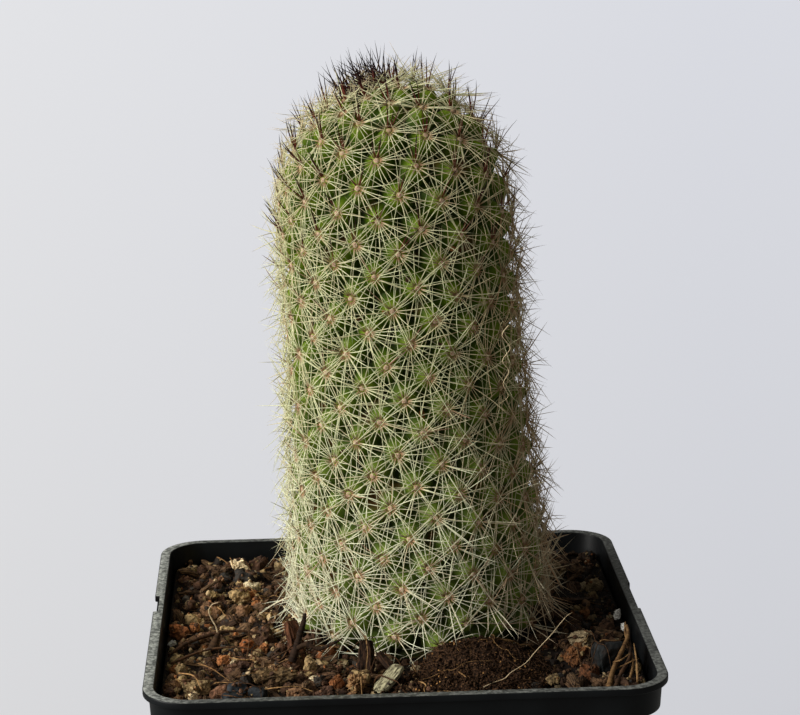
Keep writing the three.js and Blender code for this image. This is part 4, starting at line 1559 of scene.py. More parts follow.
        # The spines at the sides are tanner than those in front, those on the shaded side most of all, where
        # the tan is painted shade.
        high = tubercle.height / self.form.height
        side = 0.8 * max(0.0, tubercle.out.x - 0.2) + 0.32 * high**2 * max(0.0, -0.3 - tubercle.out.x)
        tone = float(unit(chance.normal(0.08, 0.16) + side))
        bend = Vector(chance.normal(0, 0.022, 3)) * length
        width *= chance.uniform(0.8, 1.12)
        for lift in self.lifts_deg:
            aim = (tubercle.along(azimuth, rise + math.radians(lift)) + lean).normalized()
            tip = foot + aim * length
            if tip.z > max(SOIL_TOP + 0.6, mound.top(tip.x, tip.y) + 0.4):
                return SpineRow(foot, aim, length, width, tone, 1 - high, dark, bend)
        return None

    def crown_tangle(self, chance: Chance) -> list[SpineRow]:
        """Lay out the nearly black young spines that cross over the growing point.

        Args:
            chance: The seeded generator.

        Returns:
            The spines.
        """
        form = self.form
        rows = []
        for _ in range(self.crown_spines):
            ring = self.crown_ring * math.sqrt(chance.random())
            azimuth = chance.uniform(0, TURN)
            s = form.height
            while form.girth(s) < ring:
                s -= 0.02
            foot = form.point(s, ring, azimuth)
            foot.x += self.crown_shift
            top = form.point(form.height + 8.0, self.crown_shift, 0.0)
            inward = (top - foot).normalized()
            aim = (inward + Vector(chance.normal(0, 0.7, 3))).normalized()
            aim.z = max(aim.z, 0.25)
            length = chance.uniform(*self.crown_length)
            bend = Vector(chance.normal(0, 0.03, 3)) * length
            dark = float(chance.uniform(0.9, 1.0))
            rows.append(SpineRow(foot, aim.normalized(), length, self.crown_width, 0.5, 0.0, dark, bend))
        return rows

    def grow_spines(self, name: str, rows: list[SpineRow], tree: GrowTree, horn: bpy.types.Material) -> Piece:
        """Grow a set of spines as one piece.

        Args:
            name: The piece's name.
            rows: The spines.
            tree: The spine tree.
            horn: Their material.

        Returns:
            The piece.
        """
        chance = np.random.default_rng(self.seed + len(rows))
        piece = plain_mesh(name, [r.foot for r in rows], [])
        store(piece, aim=[tuple(r.aim) for r in rows])
        store(piece, size=[(r.width * MM, r.width * MM, r.length * MM) for r in rows])
        store(piece, bend=[tuple(r.bend * MM) for r in rows], turn=chance.uniform(0, TURN, len(rows)))
        store(piece, tone=[r.tone for r in rows], age=[r.age for r in rows])
        store(piece, dark=[r.dark for r in rows])
        return grow(piece, tree, {"Horn": horn})

    def felt(self, tubercles: list[Tubercle]) -> Piece:
        """Lay the felt on every tubercle's tip, with more wool on the youngest.

        Args:
            tubercles: The tubercles.

        Returns:
            The felt.
        """
        piece = plain_mesh("areole_felt", [t.tip - t.out * 0.12 for t in tubercles], [])
        store(piece, aim=[tuple(t.out) for t in tubercles])
        young = [unit((0.8 - t.share) / 0.4) for t in tubercles]
        widths = [0.4 * (0.6 + 0.4 * t.share) + 0.2 * wool for t, wool in zip(tubercles, young)]
        deep = [0.13 + 0.35 * wool for wool in young]
        store(piece, size=[(w * MM, w * MM, d * MM) for w, d in zip(widths, deep)])
        store(piece, age=[1 - t.height / self.form.height for t in tubercles])
        return grow(piece, pad_tree(), {"Felt": finish_material(AreoleWool())})

    def old_flowers(self) -> Piece:
        """Wedge the dried husks of old flowers between tubercles on the front of the stem.

        Returns:
            The husks.
        """
        form = self.form
        husks = bmesh.new()
        for k, (x, z) in enumerate(self.husks):
            s = z - SOIL_TOP
            centre = form.point(s, 0.0, 0.0)
            radius = form.girth(s) - 1.5
            y = STEM_FOOT[1] - math.sqrt(radius**2 - (x - centre.x) ** 2)
            out = Vector((x - centre.x, y - STEM_FOOT[1], -0.25 * radius)).normalized()
            shape = crushed_stone(f"husk_{k}", self.husk_seed + k, 3, 9, 0.16)
            turn = out.to_track_quat("Z", "Y").to_matrix().to_4x4()
            wide, deep, long = self.husk_size
            size = Matrix.Diagonal((wide, deep, long + 0.1 * (k % 3), 1.0))
            shape.data.transform(Matrix.Translation(Vector((x, y, z)) * MM) @ turn @ size)
            husks.from_mesh(shape.data)
            bpy.data.objects.remove(shape)
        piece = plain_mesh("dried_flower_husks", [], [])
        husks.to_mesh(piece.data)
        husks.free()
        count = len(piece.data.vertices) // len(self.husks)
        store(piece, shade=[(i // count * SHADE_STEP) % 1.0 for i in range(len(piece.data.vertices))])
        piece.data.materials.append(finish_material(HUSK))
        return piece

    def build(self, mound: PeatMound) -> list[Piece]:
        """Make and dress the plant.

        Args:
            mound: The peat that the spines have to clear.

        Returns:
            The dressed pieces.
        """
        tubercles = self.form.tubercles()
        LOG.info("tubercles: %d", len(tubercles))
        rows = self.spines(tubercles, mound)
        tree = spine_tree()
        horn = finish_material(SpineHorn())
        split = SOIL_TOP + self.form.height * 0.5
        low = [r for r in rows[SpineKind.RADIAL] if r.foot.z < split]
        high = [r for r in rows[SpineKind.RADIAL] if r.foot.z >= split]
        pieces = [
            self.stem(tubercles),
            self.grow_spines("radial_spines_lower", low, tree, horn),
            self.grow_spines("radial_spines_upper", high, tree, horn),
            self.grow_spines("central_spines", rows[SpineKind.CENTRAL], tree, horn),
            self.felt(tubercles),
            self.old_flowers(),
        ]
        return [dress(piece, "cactus_flesh", "cactus") for piece in pieces]


# The soil and what lies on it


def crumble_tree() -> GrowTree:
    """Build the tree that gives a surface lumps and crumbs along its normals.

    Returns:
        The tree. A point moves as far as its "loose" attribute lets it.
    """
    inputs = {
        "Lump": ("NodeSocketFloat", 2.5 * MM),
        "Lump height": ("NodeSocketFloat", 0.6 * MM),
        "Crumb": ("NodeSocketFloat", 0.5 * MM),
        "Crumb height": ("NodeSocketFloat", 0.3 * MM),
        "Finish": ("NodeSocketMaterial", None),
    }
    tree, add, given, group_out = new_tree("crumbled_face", inputs)
    place = add(Kind.POSITION)
    normal = add(Kind.NORMAL)
    lump_scale = add(Kind.OVER, (1.0, given["Lump"]))
    crumb_scale = add(Kind.OVER, (1.0, given["Crumb"]))
    lumps = add(Kind.NOISE, (place, lump_scale, 4.0, 0.6))
    crumbs = add(Kind.CELLS, (place, crumb_scale))
    swell = add(Kind.MINUS, (lumps, 0.5))
    lumpy = add(Kind.TIMES, (swell, given["Lump height"]))
    grain = add(Kind.MINUS, (0.45, crumbs))
    crumbly = add(Kind.TIMES, (grain, given["Crumb height"]))
    height = add(Kind.TIMES_PLUS, (lumpy, 2.0, crumbly))
    loose = add(Kind.NUMBER, "loose")
    held = add(Kind.TIMES, (height, loose))
    shift = add(Kind.SCALE_VECTOR, (normal, held))
    moved = add(Kind.MOVE, {"Geometry": given["Geometry"], "Offset": shift})
    whole = add(Kind.REALIZE, moved)
    dressed = add(Kind.FINISH, {"Geometry": whole, "Material": given["Finish"]})
    feed(group_out, dressed)
    return tree


def scatter_tree() -> GrowTree:
    """Build the tree that lays one of several grain shapes on every point, turned at random.

    Returns:
        The tree. It reads each point's "size", and keeps "shade" for the finish.
    """
    inputs = {
        "Shapes": ("NodeSocketCollection", None),
        "Kinds": ("NodeSocketInt", 6),
        "Tilt": ("NodeSocketFloat", TURN),
        "Seed": ("NodeSocketInt", 3),
        "Finish": ("NodeSocketMaterial", None),
    }
    tree, add, given, group_out = new_tree("scattered_grains", inputs)
    shapes = add(
        Kind.COLLECTION, {"Collection": given["Shapes"], "Separate Children": True, "Reset Children": True}
    )
    points = add(Kind.POINTS, given["Geometry"])
    last = add(Kind.MINUS, (given["Kinds"], 1.0))
    pick = add(Kind.CHANCE, {"Min": 0, "Max": last, "Seed": given["Seed"]}, data_type="INT")
    tilt = given["Tilt"]
    back = add(Kind.MINUS, (0.0, tilt))
    least = add(Kind.JOIN, (back, back, 0.0))
    most = add(Kind.JOIN, (tilt, tilt, TURN))
    tumble = add(Kind.CHANCE, {"Min": least, "Max": most, "Seed": given["Seed"]}, data_type="FLOAT_VECTOR")
    size = add(Kind.VECTOR, "size")
    picked = {"Instance": shapes, "Pick Instance": True, "Instance Index": pick}
    laid = add(Kind.INSTANCES, {"Points": points, **picked, "Rotation": tumble, "Scale": size})
    whole = add(Kind.REALIZE, laid)
    dressed = add(Kind.FINISH, {"Geometry": whole, "Material": given["Finish"]})
    feed(group_out, dressed)
    return tree


def fibre_tree() -> GrowTree:
    """Build the tree that turns lines into round fibres.

    Returns:
        The tree. Each point's "thick" is its radius in metres.
    """
    inputs = {"Sides": ("NodeSocketInt", 6), "Finish": ("NodeSocketMaterial", None)}
    tree, add, given, group_out = new_tree("round_fibres", inputs)
    curve = add(Kind.LINE, given["Geometry"])
    ring = add(Kind.RING, {"Resolution": given["Sides"], "Radius": 1.0})
    thick = add(Kind.NUMBER, "thick")
    tube = add(Kind.TUBE, {"Curve": curve, "Profile Curve": ring, "Scale": thick, "Fill Caps": True})
    soft = add(Kind.SMOOTH, tube)
    whole = add(Kind.REALIZE, soft)
    dressed = add(Kind.FINISH, {"Geometry": whole, "Material": given["Finish"]})
    feed(group_out, dressed)
    return tree


def crushed_stone(
    name: str, seed: int, fineness: int, planes: int = 13, uneven: float = 0.06, crisp: int = 14
) -> Piece:
    """Make a broken stone of half size 1 mm: a ball cut by planes, then worn and pitted.

    Args:
        name: The object's name.
        seed: The stone's own seed.
        fineness: How often the ball is divided.
        planes: How many break faces it has.
        uneven: How uneven those faces are.
        crisp: How sharp the edges between them are.

    Returns:
        The object, not linked to the scene.
    """
    chance = np.random.default_rng(seed)
    # Six breaks make a rough block, and the others cut its corners.
    block = np.vstack([np.eye(3), -np.eye(3)]) + chance.normal(0, 0.22, (6, 3))
    faces = np.vstack([block, chance.normal(size=(planes - 6, 3))])
    faces /= np.linalg.norm(faces, axis=1)[:, None]
    depth = np.concatenate([chance.uniform(0.6, 0.8, 6), chance.uniform(0.66, 1.0, planes - 6)])
    away = Vector((seed * 3.1, seed * 1.7, 0))
    ball = bmesh.new()
    bmesh.ops.create_icosphere(ball, subdivisions=fineness, radius=1)
    for vertex in ball.verts:
        direction = vertex.co.normalized()
        facing = faces @ np.array(direction)
        cuts = [d / f for d, f in zip(depth, facing) if f > 0.05]
        soft = (sum(c**-crisp for c in cuts) + 1.0) ** (-1 / crisp)
        lumps = noise.fractal(direction * 2.1 + away, 0.8, 2.2, 3)
        pits = noise.fractal(direction * 6.5 + away, 0.7, 2.1, 2) if fineness > 3 else 0.0
        vertex.co = direction * soft * (1 + uneven * (2.4 * lumps + 0.8 * pits))
    reach = max(max(abs(c) for c in v.co) for v in ball.verts)
    for vertex in ball.verts:
        vertex.co *= MM / reach
    mesh = bpy.data.meshes.new(name)
    ball.to_mesh(mesh)
    ball.free()
    return bpy.data.objects.new(name, mesh)


def bark_splinter(name: str, seed: int, sides: int = 6) -> Piece:
    """Make a splinter of bark 1 mm in half length: a flat bar with ragged ends, its grain stored along it.

    Args:
        name: The object's name.
        seed: The splinter's own seed.
        sides: The points round it.

    Returns:
        The object, not linked to the scene.
    """
    chance = np.random.default_rng(seed)
    wide, thick = chance.uniform(0.3, 0.62), chance.uniform(0.14, 0.3)
    stations = (-1.0, -0.72, -0.2, 0.35, 0.8, 1.0)
    points, grain = [], []
    for share in stations:
        taper = 1 - 0.35 * abs(share) ** 3
        torn = 0.2 if abs(share) > 0.75 else 0.05
        for j in range(sides):
            angle = TURN * j / sides
            x = share + chance.uniform(-torn, torn)
            y = math.cos(angle) * wide * taper * chance.uniform(0.8, 1.15)
            z = math.sin(angle) * thick * taper * chance.uniform(0.7, 1.25) + 0.1 * math.sin(share * 2 + seed)
            points.append((x, y, z))
            grain.append((x * 0.8, y * 9.0, z * 9.0))
    piece = plain_mesh(name, points, loft_faces(len(stations), sides), smooth=False)
    bpy.context.scene.collection.objects.unlink(piece)
    store(piece, grain=grain)
    return piece


class Ground:
    """What lies in the pot so far, for the next pieces to lie on."""

    def __init__(self) -> None:
        """Start with nothing."""
        self.points: list[Point] = []
        self.faces: list[Face] = []
        self.tree: BVHTree | None = None

    def add(self, *pieces: Piece) -> None:
        """Take in finished pieces.

        Args:
            *pieces: Mesh objects in place.
        """
        for piece in pieces:
            start = len(self.points)
            self.points.extend(tuple(v.co) for v in piece.data.vertices)
            self.faces.extend(tuple(start + k for k in face.vertices) for face in piece.data.polygons)
        self.tree = BVHTree.FromPolygons(self.points, self.faces)

    def height(self, x: float, y: float) -> float:
        """The height of what lies at a place, in millimetres."""
        hit = self.tree.ray_cast(Vector((x * MM, y * MM, 0.1)), Vector((0, 0, -1)))
        return hit[0].z / MM if hit[0] else SOIL_TOP


@dataclass
class PeatMound:
    """The mound of old peat in front of the stem: a crescent that is highest beside the stem."""

    inner: float = 19.3
    outer: float = 34.0
    bearing_from: float = -95.0
    bearing_to: float = -52.0
    rise: float = 3.9
    front_rise: float = 0.5
    plateau: float = 1.7  # how long the top stays level before it falls to the front
    sink: float = 0.9
    limit: float = 32.3
    across: int = 130
    along: int = 150
    crumbs: int = 2200
    spill: int = 420
    spill_at: tuple[float, float] = (1.6, -26.6)  # between the mound's left end and the pale chip of bark
    spill_spread: tuple[float, float] = (1.7, 2.1)
    stem_clear: float = 20.0
    seed: int = 63

    def spot(self, share: float, out: float) -> Point:
        """Give the place and height of the mound's face.

        Args:
            share: How far round the crescent, from 0 to 1.
            out: How far out from the stem, from 0 to 1.

        Returns:
            The x, the y and the height of the face.
        """
        angle = math.radians(self.bearing_from + (self.bearing_to - self.bearing_from) * share)
        ends = max(0.0, math.sin(share * math.pi)) ** 0.5
        outer = self.inner + (self.outer - self.inner) * (0.45 + 0.55 * ends)
        radius = self.inner + (outer - self.inner) * out
        x = min(self.limit, STEM_FOOT[0] + radius * math.cos(angle))
        y = max(-self.limit, STEM_FOOT[1] + radius * math.sin(angle))
        fall = self.rise + (self.front_rise - self.rise) * out**self.plateau
        return x, y, SOIL_TOP + 0.2 + fall * ends

    def top(self, x: float, y: float) -> float:
        """The mound's height at a place, or the soil's beside it, in millimetres.

        Args:
            x: How far the place is to the right.
            y: How far it is to the back.

        Returns:
            The height.
        """
        dx, dy = x - STEM_FOOT[0], y - STEM_FOOT[1]
        share = (math.degrees(math.atan2(dy, dx)) - self.bearing_from) / (self.bearing_to - self.bearing_from)
        if not 0 <= share <= 1:
            return SOIL_TOP
        ends = math.sin(share * math.pi) ** 0.5
        outer = self.inner + (self.outer - self.inner) * (0.45 + 0.55 * ends)
        out = (math.hypot(dx, dy) - self.inner) / (outer - self.inner)
        return SOIL_TOP if out > 1 else self.spot(share, max(0.0, out))[2]

    def body(self, tree: GrowTree) -> Piece:
        """Make the mound's body with its crumbled face.

        Args:
            tree: The crumble tree.

        Returns:
            The body.
        """
        rows = [
            (i / self.along, j / self.across) for i in range(self.along + 1) for j in range(self.across + 1)
        ]
        top = [self.spot(share, out) for share, out in rows]
        under = [(x, y, SOIL_TOP - self.sink) for x, y, _ in top]
        count = len(top)
        faces, edge = grid(self.along, self.across)
        rim = [under[a] for a in edge]
        for k, a in enumerate(edge):
            b = (k + 1) % len(edge)
            faces.append((edge[b], a, count + k, count + b))
        faces.append(tuple(count + k for k in reversed(range(len(edge)))))
        mound = plain_mesh("old_peat_mound", top + rim, faces)
        store(mound, loose=[1.0] * count + [0.0] * len(rim))
        sizes = {"Lump": 2.2 * MM, "Lump height": 1.2 * MM, "Crumb": 0.5 * MM, "Crumb height": 0.45 * MM}
        return grow(mound, tree, {**sizes, "Finish": finish_material(PEAT)})

    def build(self, tree: GrowTree, scatter: GrowTree) -> list[Piece]:
        """Make and dress the mound, with loose crumbs on it and spilt beside it.

        Args:
            tree: The crumble tree.
            scatter: The scatter tree.

        Returns:
            The dressed pieces.
        """
        chance = np.random.default_rng(self.seed)
        mound = self.body(tree)
        ground = Ground()
        ground.add(mound)
        spots = []
        for _ in range(self.crumbs):
            x, y, _ = self.spot(chance.random(), math.sqrt(chance.random()))
            half = 0.1 + 0.2 * chance.random() ** 2
            spots.append((x, y, ground.height(x, y) + half * 0.3, half))
        for _ in range(self.spill):
            x, y = chance.normal(self.spill_at, self.spill_spread)
            if y < -self.limit or from_stem(x, y) < self.stem_clear:
                continue
            half = 0.16 + 0.42 * chance.random() ** 2
            spots.append((x, y, SOIL_TOP + 0.2 + chance.uniform(0.0, 1.0) + half * 0.5, half))
        shapes = ShapeLibrary()
        crumbs = shapes.lay("loose_peat_crumbs", spots, GrainShape.CRUSHED, 1, PEAT, scatter, chance)
        shapes.clear()
        return [dress(mound, "peat", "peat_clump"), dress(crumbs, "peat")]


class GrainShape(Enum):
    """How a grain is shaped: crushed all round, or split along its grain."""

    CRUSHED = "crushed"
    SPLINTER = "splinter"


class ShapeLibrary:
    """The few grain shapes that are laid over and over, and the laying of them."""

    count = 6
    crushed_seed = 70
    splinter_seed = 170
    crushed_stretch = (0.74, 1.0)  # the least and the greatest size against the grain's own, each way
    splinter_stretch = (1.1, 1.45)
    splinter_tilt_deg = 38

    def __init__(self) -> None:
        """Start with no shapes."""
        self.collections: dict[tuple[GrainShape, int], bpy.types.Collection] = {}

    def shapes(self, shape: GrainShape, fineness: int) -> bpy.types.Collection:
        """Give the collection of one kind of shape, made once.

        Args:
            shape: The kind of shape.
            fineness: How finely a crushed grain is divided.

        Returns:
            The collection.
        """
        key = (shape, fineness)
        if key not in self.collections:
            made = bpy.data.collections.new(f"{shape.value}_{fineness}")
            for k in range(self.count):
                name = f"{made.name}_{k}"
                if shape is GrainShape.CRUSHED:
                    made.objects.link(crushed_stone(name, self.crushed_seed + k, fineness, 8, 0.1, 30))
                else:
                    made.objects.link(bark_splinter(name, self.splinter_seed + k))
            self.collections[key] = made
        return self.collections[key]

    def lay(
        self,
        name: str,
        spots: list[Grain],
        shape: GrainShape,
        fineness: int,
        finish: Surface,
        tree: GrowTree,
        chance: Chance,
    ) -> Piece:
        """Lay grains as one piece.

        Args:
            name: The piece's name.
            spots: Each grain's x, y, z and half size.
            shape: The kind of shape.
            fineness: How finely a crushed grain is divided.
            finish: The finish.
            tree: The scatter tree.
            chance: The seeded generator.

        Returns:
            The piece.
        """
        piece = plain_mesh(name, [(x, y, z) for x, y, z, _ in spots], [])
        crushed = shape is GrainShape.CRUSHED
        stretch = self.crushed_stretch if crushed else self.splinter_stretch
        halves = np.array([[half] * 3 for *_, half in spots])
        store(piece, size=halves * chance.uniform(*stretch, (len(spots), 3)))
        store(piece, shade=chance.random(len(spots)))
        values = {
            "Shapes": self.shapes(shape, fineness),
            "Kinds": self.count,
            "Tilt": TURN if crushed else math.radians(self.splinter_tilt_deg),
            "Seed": int(chance.integers(1, 9999)),
            "Finish": finish_material(finish),
        }
        return grow(piece, tree, values)

    def clear(self) -> None:
        """Remove the shapes once they are laid."""
        for made in self.collections.values():
            for shape in list(made.objects):
                bpy.data.objects.remove(shape)
            bpy.data.collections.remove(made)
        self.collections.clear()


@dataclass(frozen=True)
class GrainKind:
    """One thing that the soil is mixed from, with its share of the coarse, middling and fine grains."""

    name: str
    finish: Surface
    slot: str
    shape: GrainShape
    shares: tuple[float, float, float]


SOIL_MIX = (
    GrainKind("lava", LAVA, "lava", GrainShape.CRUSHED, (0.2, 0.22, 0.2)),
    GrainKind("burnt_clay", ORANGE, "lava", GrainShape.CRUSHED, (0.02, 0.04, 0.05)),
    GrainKind("pumice", PUMICE, "pumice", GrainShape.CRUSHED, (0.18, 0.21, 0.2)),
    GrainKind("slate", DARK_STONE, "slate", GrainShape.CRUSHED, (0.14, 0.14, 0.1)),
    GrainKind("cream", CREAM, "pumice", GrainShape.CRUSHED, (0.02, 0.03, 0.03)),
    GrainKind("peat_crumb", CRUMB, "gritty_soil", GrainShape.CRUSHED, (0.24, 0.2, 0.33)),
    GrainKind("bark", CHIP_BARK, "dark_bark", GrainShape.SPLINTER, (0.2, 0.16, 0.09)),
)


@dataclass
class LooseStone:
    """One stone that lies on the soil: its place, size, turn and finish, and the solid it stands for."""

    name: str
    x: float
    y: float
    half: Point
    turn_deg: float
    finish: Grit
    slot: str
    node: str | None = None
    lift: float = 0.7  # how high its middle lies over the soil, as a share of its half height
    planes: int = 11
    uneven: float = 0.1
    crisp: int = 24

    def build(self, seed: int, fineness: int) -> Piece:
        """Make and dress the stone.

        Args:
            seed: The stone's own seed.
            fineness: How often its ball is divided.

        Returns:
            The dressed piece.
        """
        piece = crushed_stone(self.name, seed, fineness, self.planes, self.uneven, self.crisp)
        bpy.context.scene.collection.objects.link(piece)
        at = (self.x * MM, self.y * MM, (SOIL_TOP + self.half[2] * self.lift) * MM)
        turn = Matrix.Rotation(math.radians(self.turn_deg), 4, "Z")
        piece.data.transform(Matrix.Translation(at) @ turn @ Matrix.Diagonal((*self.half, 1.0)))
        smooth_by_angle(piece, 24)
        store(piece, shade=[(seed * SHADE_STEP) % 1.0] * len(piece.data.vertices))
        piece.data.materials.append(finish_material(self.finish))
        return dress(piece, self.slot, *([self.node] if self.node else []))


def stone_node(
    node: str, x: float, y: float, half: Point, turn_deg: float, finish: Grit, slot: str, **shape: float
) -> LooseStone:
    """Describe a stone that stands for a solid of that name."""
    return LooseStone(node + "_detail", x, y, half, turn_deg, finish, slot, node, **shape)


SLAB = {"planes": 7, "uneven": 0.03, "crisp": 50}  # the shape of split slate
LOOSE_STONES = [
    stone_node("pumice_stone_left", -28, -24.4, (2.1, 1.8, 1.5), 20, PUMICE, "pumice"),
    stone_node(
        "pumice_stone_middle", -6.6, -25.6, (1.9, 2.3, 1.9), -15, RUST, "pumice", planes=7, uneven=0.2
    ),
    stone_node("clay_clod", -17.6, -21.8, (3.4, 2.0, 1.7), 8, CLAY, "clay", planes=14, uneven=0.2),
    stone_node("lava_stone_middle", -10.8, -28.4, (1.7, 1.5, 1.3), 50, LAVA, "lava"),
    stone_node("lava_stone_right", 24.2, -16.6, (1.8, 1.6, 1.75), 35, ORANGE, "lava"),
    stone_node("pumice_stone_right", 25.4, -11.4, (1.7, 1.5, 1.2), -30, CREAM, "pumice", lift=1.3),
    stone_node("slate_stone_left", -23, -28.6, (1.9, 1.3, 1.2), 12, BLUE_STONE, "slate", **SLAB),
    stone_node("pumice_stone_back_left", -22.6, 13.5, (2.2, 1.9, 1.5), 70, PUMICE, "pumice"),
    stone_node("pumice_stone_back_right", 25.2, 20.5, (2.3, 1.8, 1.3), 110, PUMICE, "pumice"),
    stone_node("lava_stone_back", 3, 27, (2.0, 1.8, 1.5), 10, LAVA, "lava"),
    stone_node(
        "charcoal_lump", 28.2, -20.6, (2.7, 2.0, 2.9), 15, CHARCOAL, "charcoal", planes=8, uneven=0.02,
        crisp=60,
    ),
]
# Smaller stones that show one by one in front, on top of the mixed grains.
SMALL_STONES = [
    LooseStone("tan_grit_a", -30.3, -17.8, (1.0, 0.8, 1.1), 30, PUMICE, "pumice", lift=1.0),
    LooseStone("tan_grit_b", -30.2, -20.9, (1.1, 0.9, 1.0), 75, PUMICE, "pumice", lift=0.9),
    LooseStone("cream_grit_a", -28.4, -27.6, (0.8, 0.6, 1.0), 20, CREAM, "pumice", lift=0.9),
    LooseStone("lava_grit_a", -31.6, -25.0, (0.9, 0.8, 0.8), 10, LAVA, "lava", lift=0.9),
    LooseStone("lava_grit_b", -30.6, -27.6, (1.0, 0.8, 0.7), 60, LAVA, "lava", lift=0.9),
    LooseStone("slate_grit_a", -22.6, -26.3, (1.6, 1.0, 1.1), 6, BLUE_STONE, "slate", lift=1.3, **SLAB),
    LooseStone(
        "slate_grit_b", -19.7, -27.0, (1.5, 0.9, 0.9), -12, BLUE_STONE, "slate", lift=1.2,
        **SLAB | {"uneven": 0.04},
    ),
    LooseStone("orange_grit_a", -24.4, -13.8, (1.2, 0.8, 0.9), 15, ORANGE, "lava", lift=1.1),
    LooseStone("orange_grit_b", -21.6, -8.6, (1.2, 1.0, 1.0), 40, ORANGE, "lava", lift=1.1),
    LooseStone("orange_grit_c", -19.0, -9.2, (0.9, 0.8, 0.8), 80, ORANGE, "lava", lift=1.1),
    LooseStone("tan_grit_c", -12.7, -18.4, (0.9, 0.8, 1.5), 25, PUMICE, "pumice", lift=1.0),
    LooseStone("olive_grit_a", -10.2, -19.4, (1.3, 1.0, 0.9), 0, CLAY, "clay", lift=1.1),
    LooseStone("cream_grit_b", -11.7, -22.1, (1.3, 0.7, 0.45), 12, CREAM, "pumice", lift=2.4),
    LooseStone("slate_grit_c", -11.4, -22.6, (1.2, 0.9, 1.0), 40, DARK_STONE, "slate", lift=0.9),
    LooseStone("orange_grit_d", -9.2, -24.2, (1.2, 0.9, 1.1), 20, ORANGE, "lava", lift=1.1),
    LooseStone("lava_grit_c", -14.8, -26.4, (1.4, 0.9, 0.7), 5, LAVA, "lava", lift=1.0),
    LooseStone("lava_grit_d", -12.9, -25.8, (1.1, 0.8, 0.8), 32, LAVA, "lava", lift=1.0),
    LooseStone("cream_grit_c", 19.9, -26.6, (1.0, 0.9, 0.9), 30, PUMICE, "pumice", lift=1.7),
    LooseStone("slate_grit_d", 17.5, -27.3, (1.0, 0.8, 0.8), 10, DARK_STONE, "slate", lift=0.9),
    LooseStone("cream_grit_d", 23.3, -29.4, (1.1, 0.6, 0.45), 5, CREAM, "pumice", lift=1.8),
    LooseStone("cream_grit_e", 25.4, -29.3, (0.8, 0.5, 0.4), -20, CREAM, "pumice", lift=1.8),
    LooseStone("lava_grit_e", 26.3, -26.3, (1.5, 1.2, 0.9), 15, LAVA, "lava", lift=0.9),
    LooseStone("olive_grit_b", 31.6, -27.2, (0.7, 0.6, 0.9), 10, PUMICE, "pumice", lift=1.0),
    LooseStone("olive_grit_c", 32.0, -22.0, (0.5, 0.6, 1.0), 0, PUMICE, "pumice", lift=1.0),
    LooseStone("perlite_a", -32.0, -5.6, (0.7, 0.6, 0.6), 20, PERLITE, "pumice", lift=1.2),
    LooseStone("perlite_b", 31.8, -2.0, (0.6, 0.5, 1.0), 0, PERLITE, "pumice", lift=1.7),
    LooseStone("perlite_c", 32.1, -6.3, (0.4, 0.4, 0.7), 30, PERLITE, "pumice", lift=1.9),
    LooseStone("orange_grit_e", -31.8, -0.4, (1.1, 0.9, 1.0), 30, ORANGE, "lava", lift=1.0),
    LooseStone("orange_grit_f", -29.0, 0.4, (0.9, 0.8, 0.8), 70, ORANGE, "lava", lift=1.0),
    LooseStone("cream_grit_f", -23.2, 28.6, (1.3, 1.1, 1.0), 0, CREAM, "pumice", lift=1.0),
    LooseStone("cream_grit_g", -22.0, 25.2, (1.1, 1.0, 0.9), 40, CREAM, "pumice", lift=1.0),
]


@dataclass
class BarkPiece:
    """One piece of bark: a thin bar with broken ends, turned and tilted."""

    node: str
    at: Point
    half: Point
    turn_deg: float
    tilt_deg: float
    finish: Bark
    slot: str
    stations: int = 46
    sides: int = 28

    def build(self, seed: int) -> Piece:
        """Make and dress the piece.

        Args:
            seed: The piece's own seed.

        Returns:
            The dressed piece.
        """
        length, width, thick = self.half
        place = Matrix.Translation((self.at[0], self.at[1], SOIL_TOP + self.at[2]))
        place = place @ Matrix.Rotation(math.radians(self.turn_deg), 4, "Z")
        place = place @ Matrix.Rotation(math.radians(self.tilt_deg), 4, "Y")
        points, grain = [], []
        for i in range(self.stations + 1):
            share = 2 * i / self.stations - 1
            taper = 1 - 0.35 * abs(share) ** 4
            near_end = abs(share) > 0.9
            for j in range(self.sides):
                angle = TURN * j / self.sides
                cos, sin = math.cos(angle), math.sin(angle)
                across = math.copysign(abs(cos) ** 0.55, cos)
                over = math.copysign(abs(sin) ** 0.55, sin)
                ragged = noise.noise(Vector((across * 2.1, over * 1.3, seed + share))) * 0.5
                groove = noise.fractal(Vector((share * 1.1, across * 4.5, over * 3 + seed)), 0.7, 2.1, 3)
                torn = 1 - 0.08 * near_end * (1 + ragged * 3)
                x = share * length * torn + ragged * 0.6 * width * near_end
                y = across * width * taper * (0.97 + 0.14 * noise.noise(Vector((share * 2.4, seed, 3.1))))
                z = over * thick * taper * (1 + 0.42 * groove) + 0.18 * thick * math.sin(share * 3 + seed)
                points.append(place @ Vector((x, y, z)))
                grain.append((x * 0.5, y * 4.5, z * 4.5))
        piece = plain_mesh(self.node + "_detail", points, loft_faces(self.stations + 1, self.sides))
        store(piece, grain=grain, shade=[0.5] * len(points))
        piece.data.materials.append(finish_material(self.finish))
        smooth_by_angle(piece, 50)
        return dress(piece, self.slot, self.node)


BARK_PIECES = [
    BarkPiece("bark_chip_pale", (-2.2, -25.8, 2.1), (2.7, 1.2, 0.4), 50, -24, PALE_BARK, "pale_bark"),
    BarkPiece("bark_stub_dark", (-5.0, -18.4, 2.1), (2.9, 1.15, 0.85), 80, -76, DARK_BARK, "dark_bark"),
    BarkPiece("bark_sliver_dark", (-1.7, -21.2, 1.9), (3.0, 0.6, 0.5), -48, 34, DARK_BARK, "dark_bark"),
    BarkPiece("bark_flake_left", (-14.6, -11.6, 2.5), (3.3, 1.2, 0.6), 122, -64, RED_BARK, "dark_bark"),
]


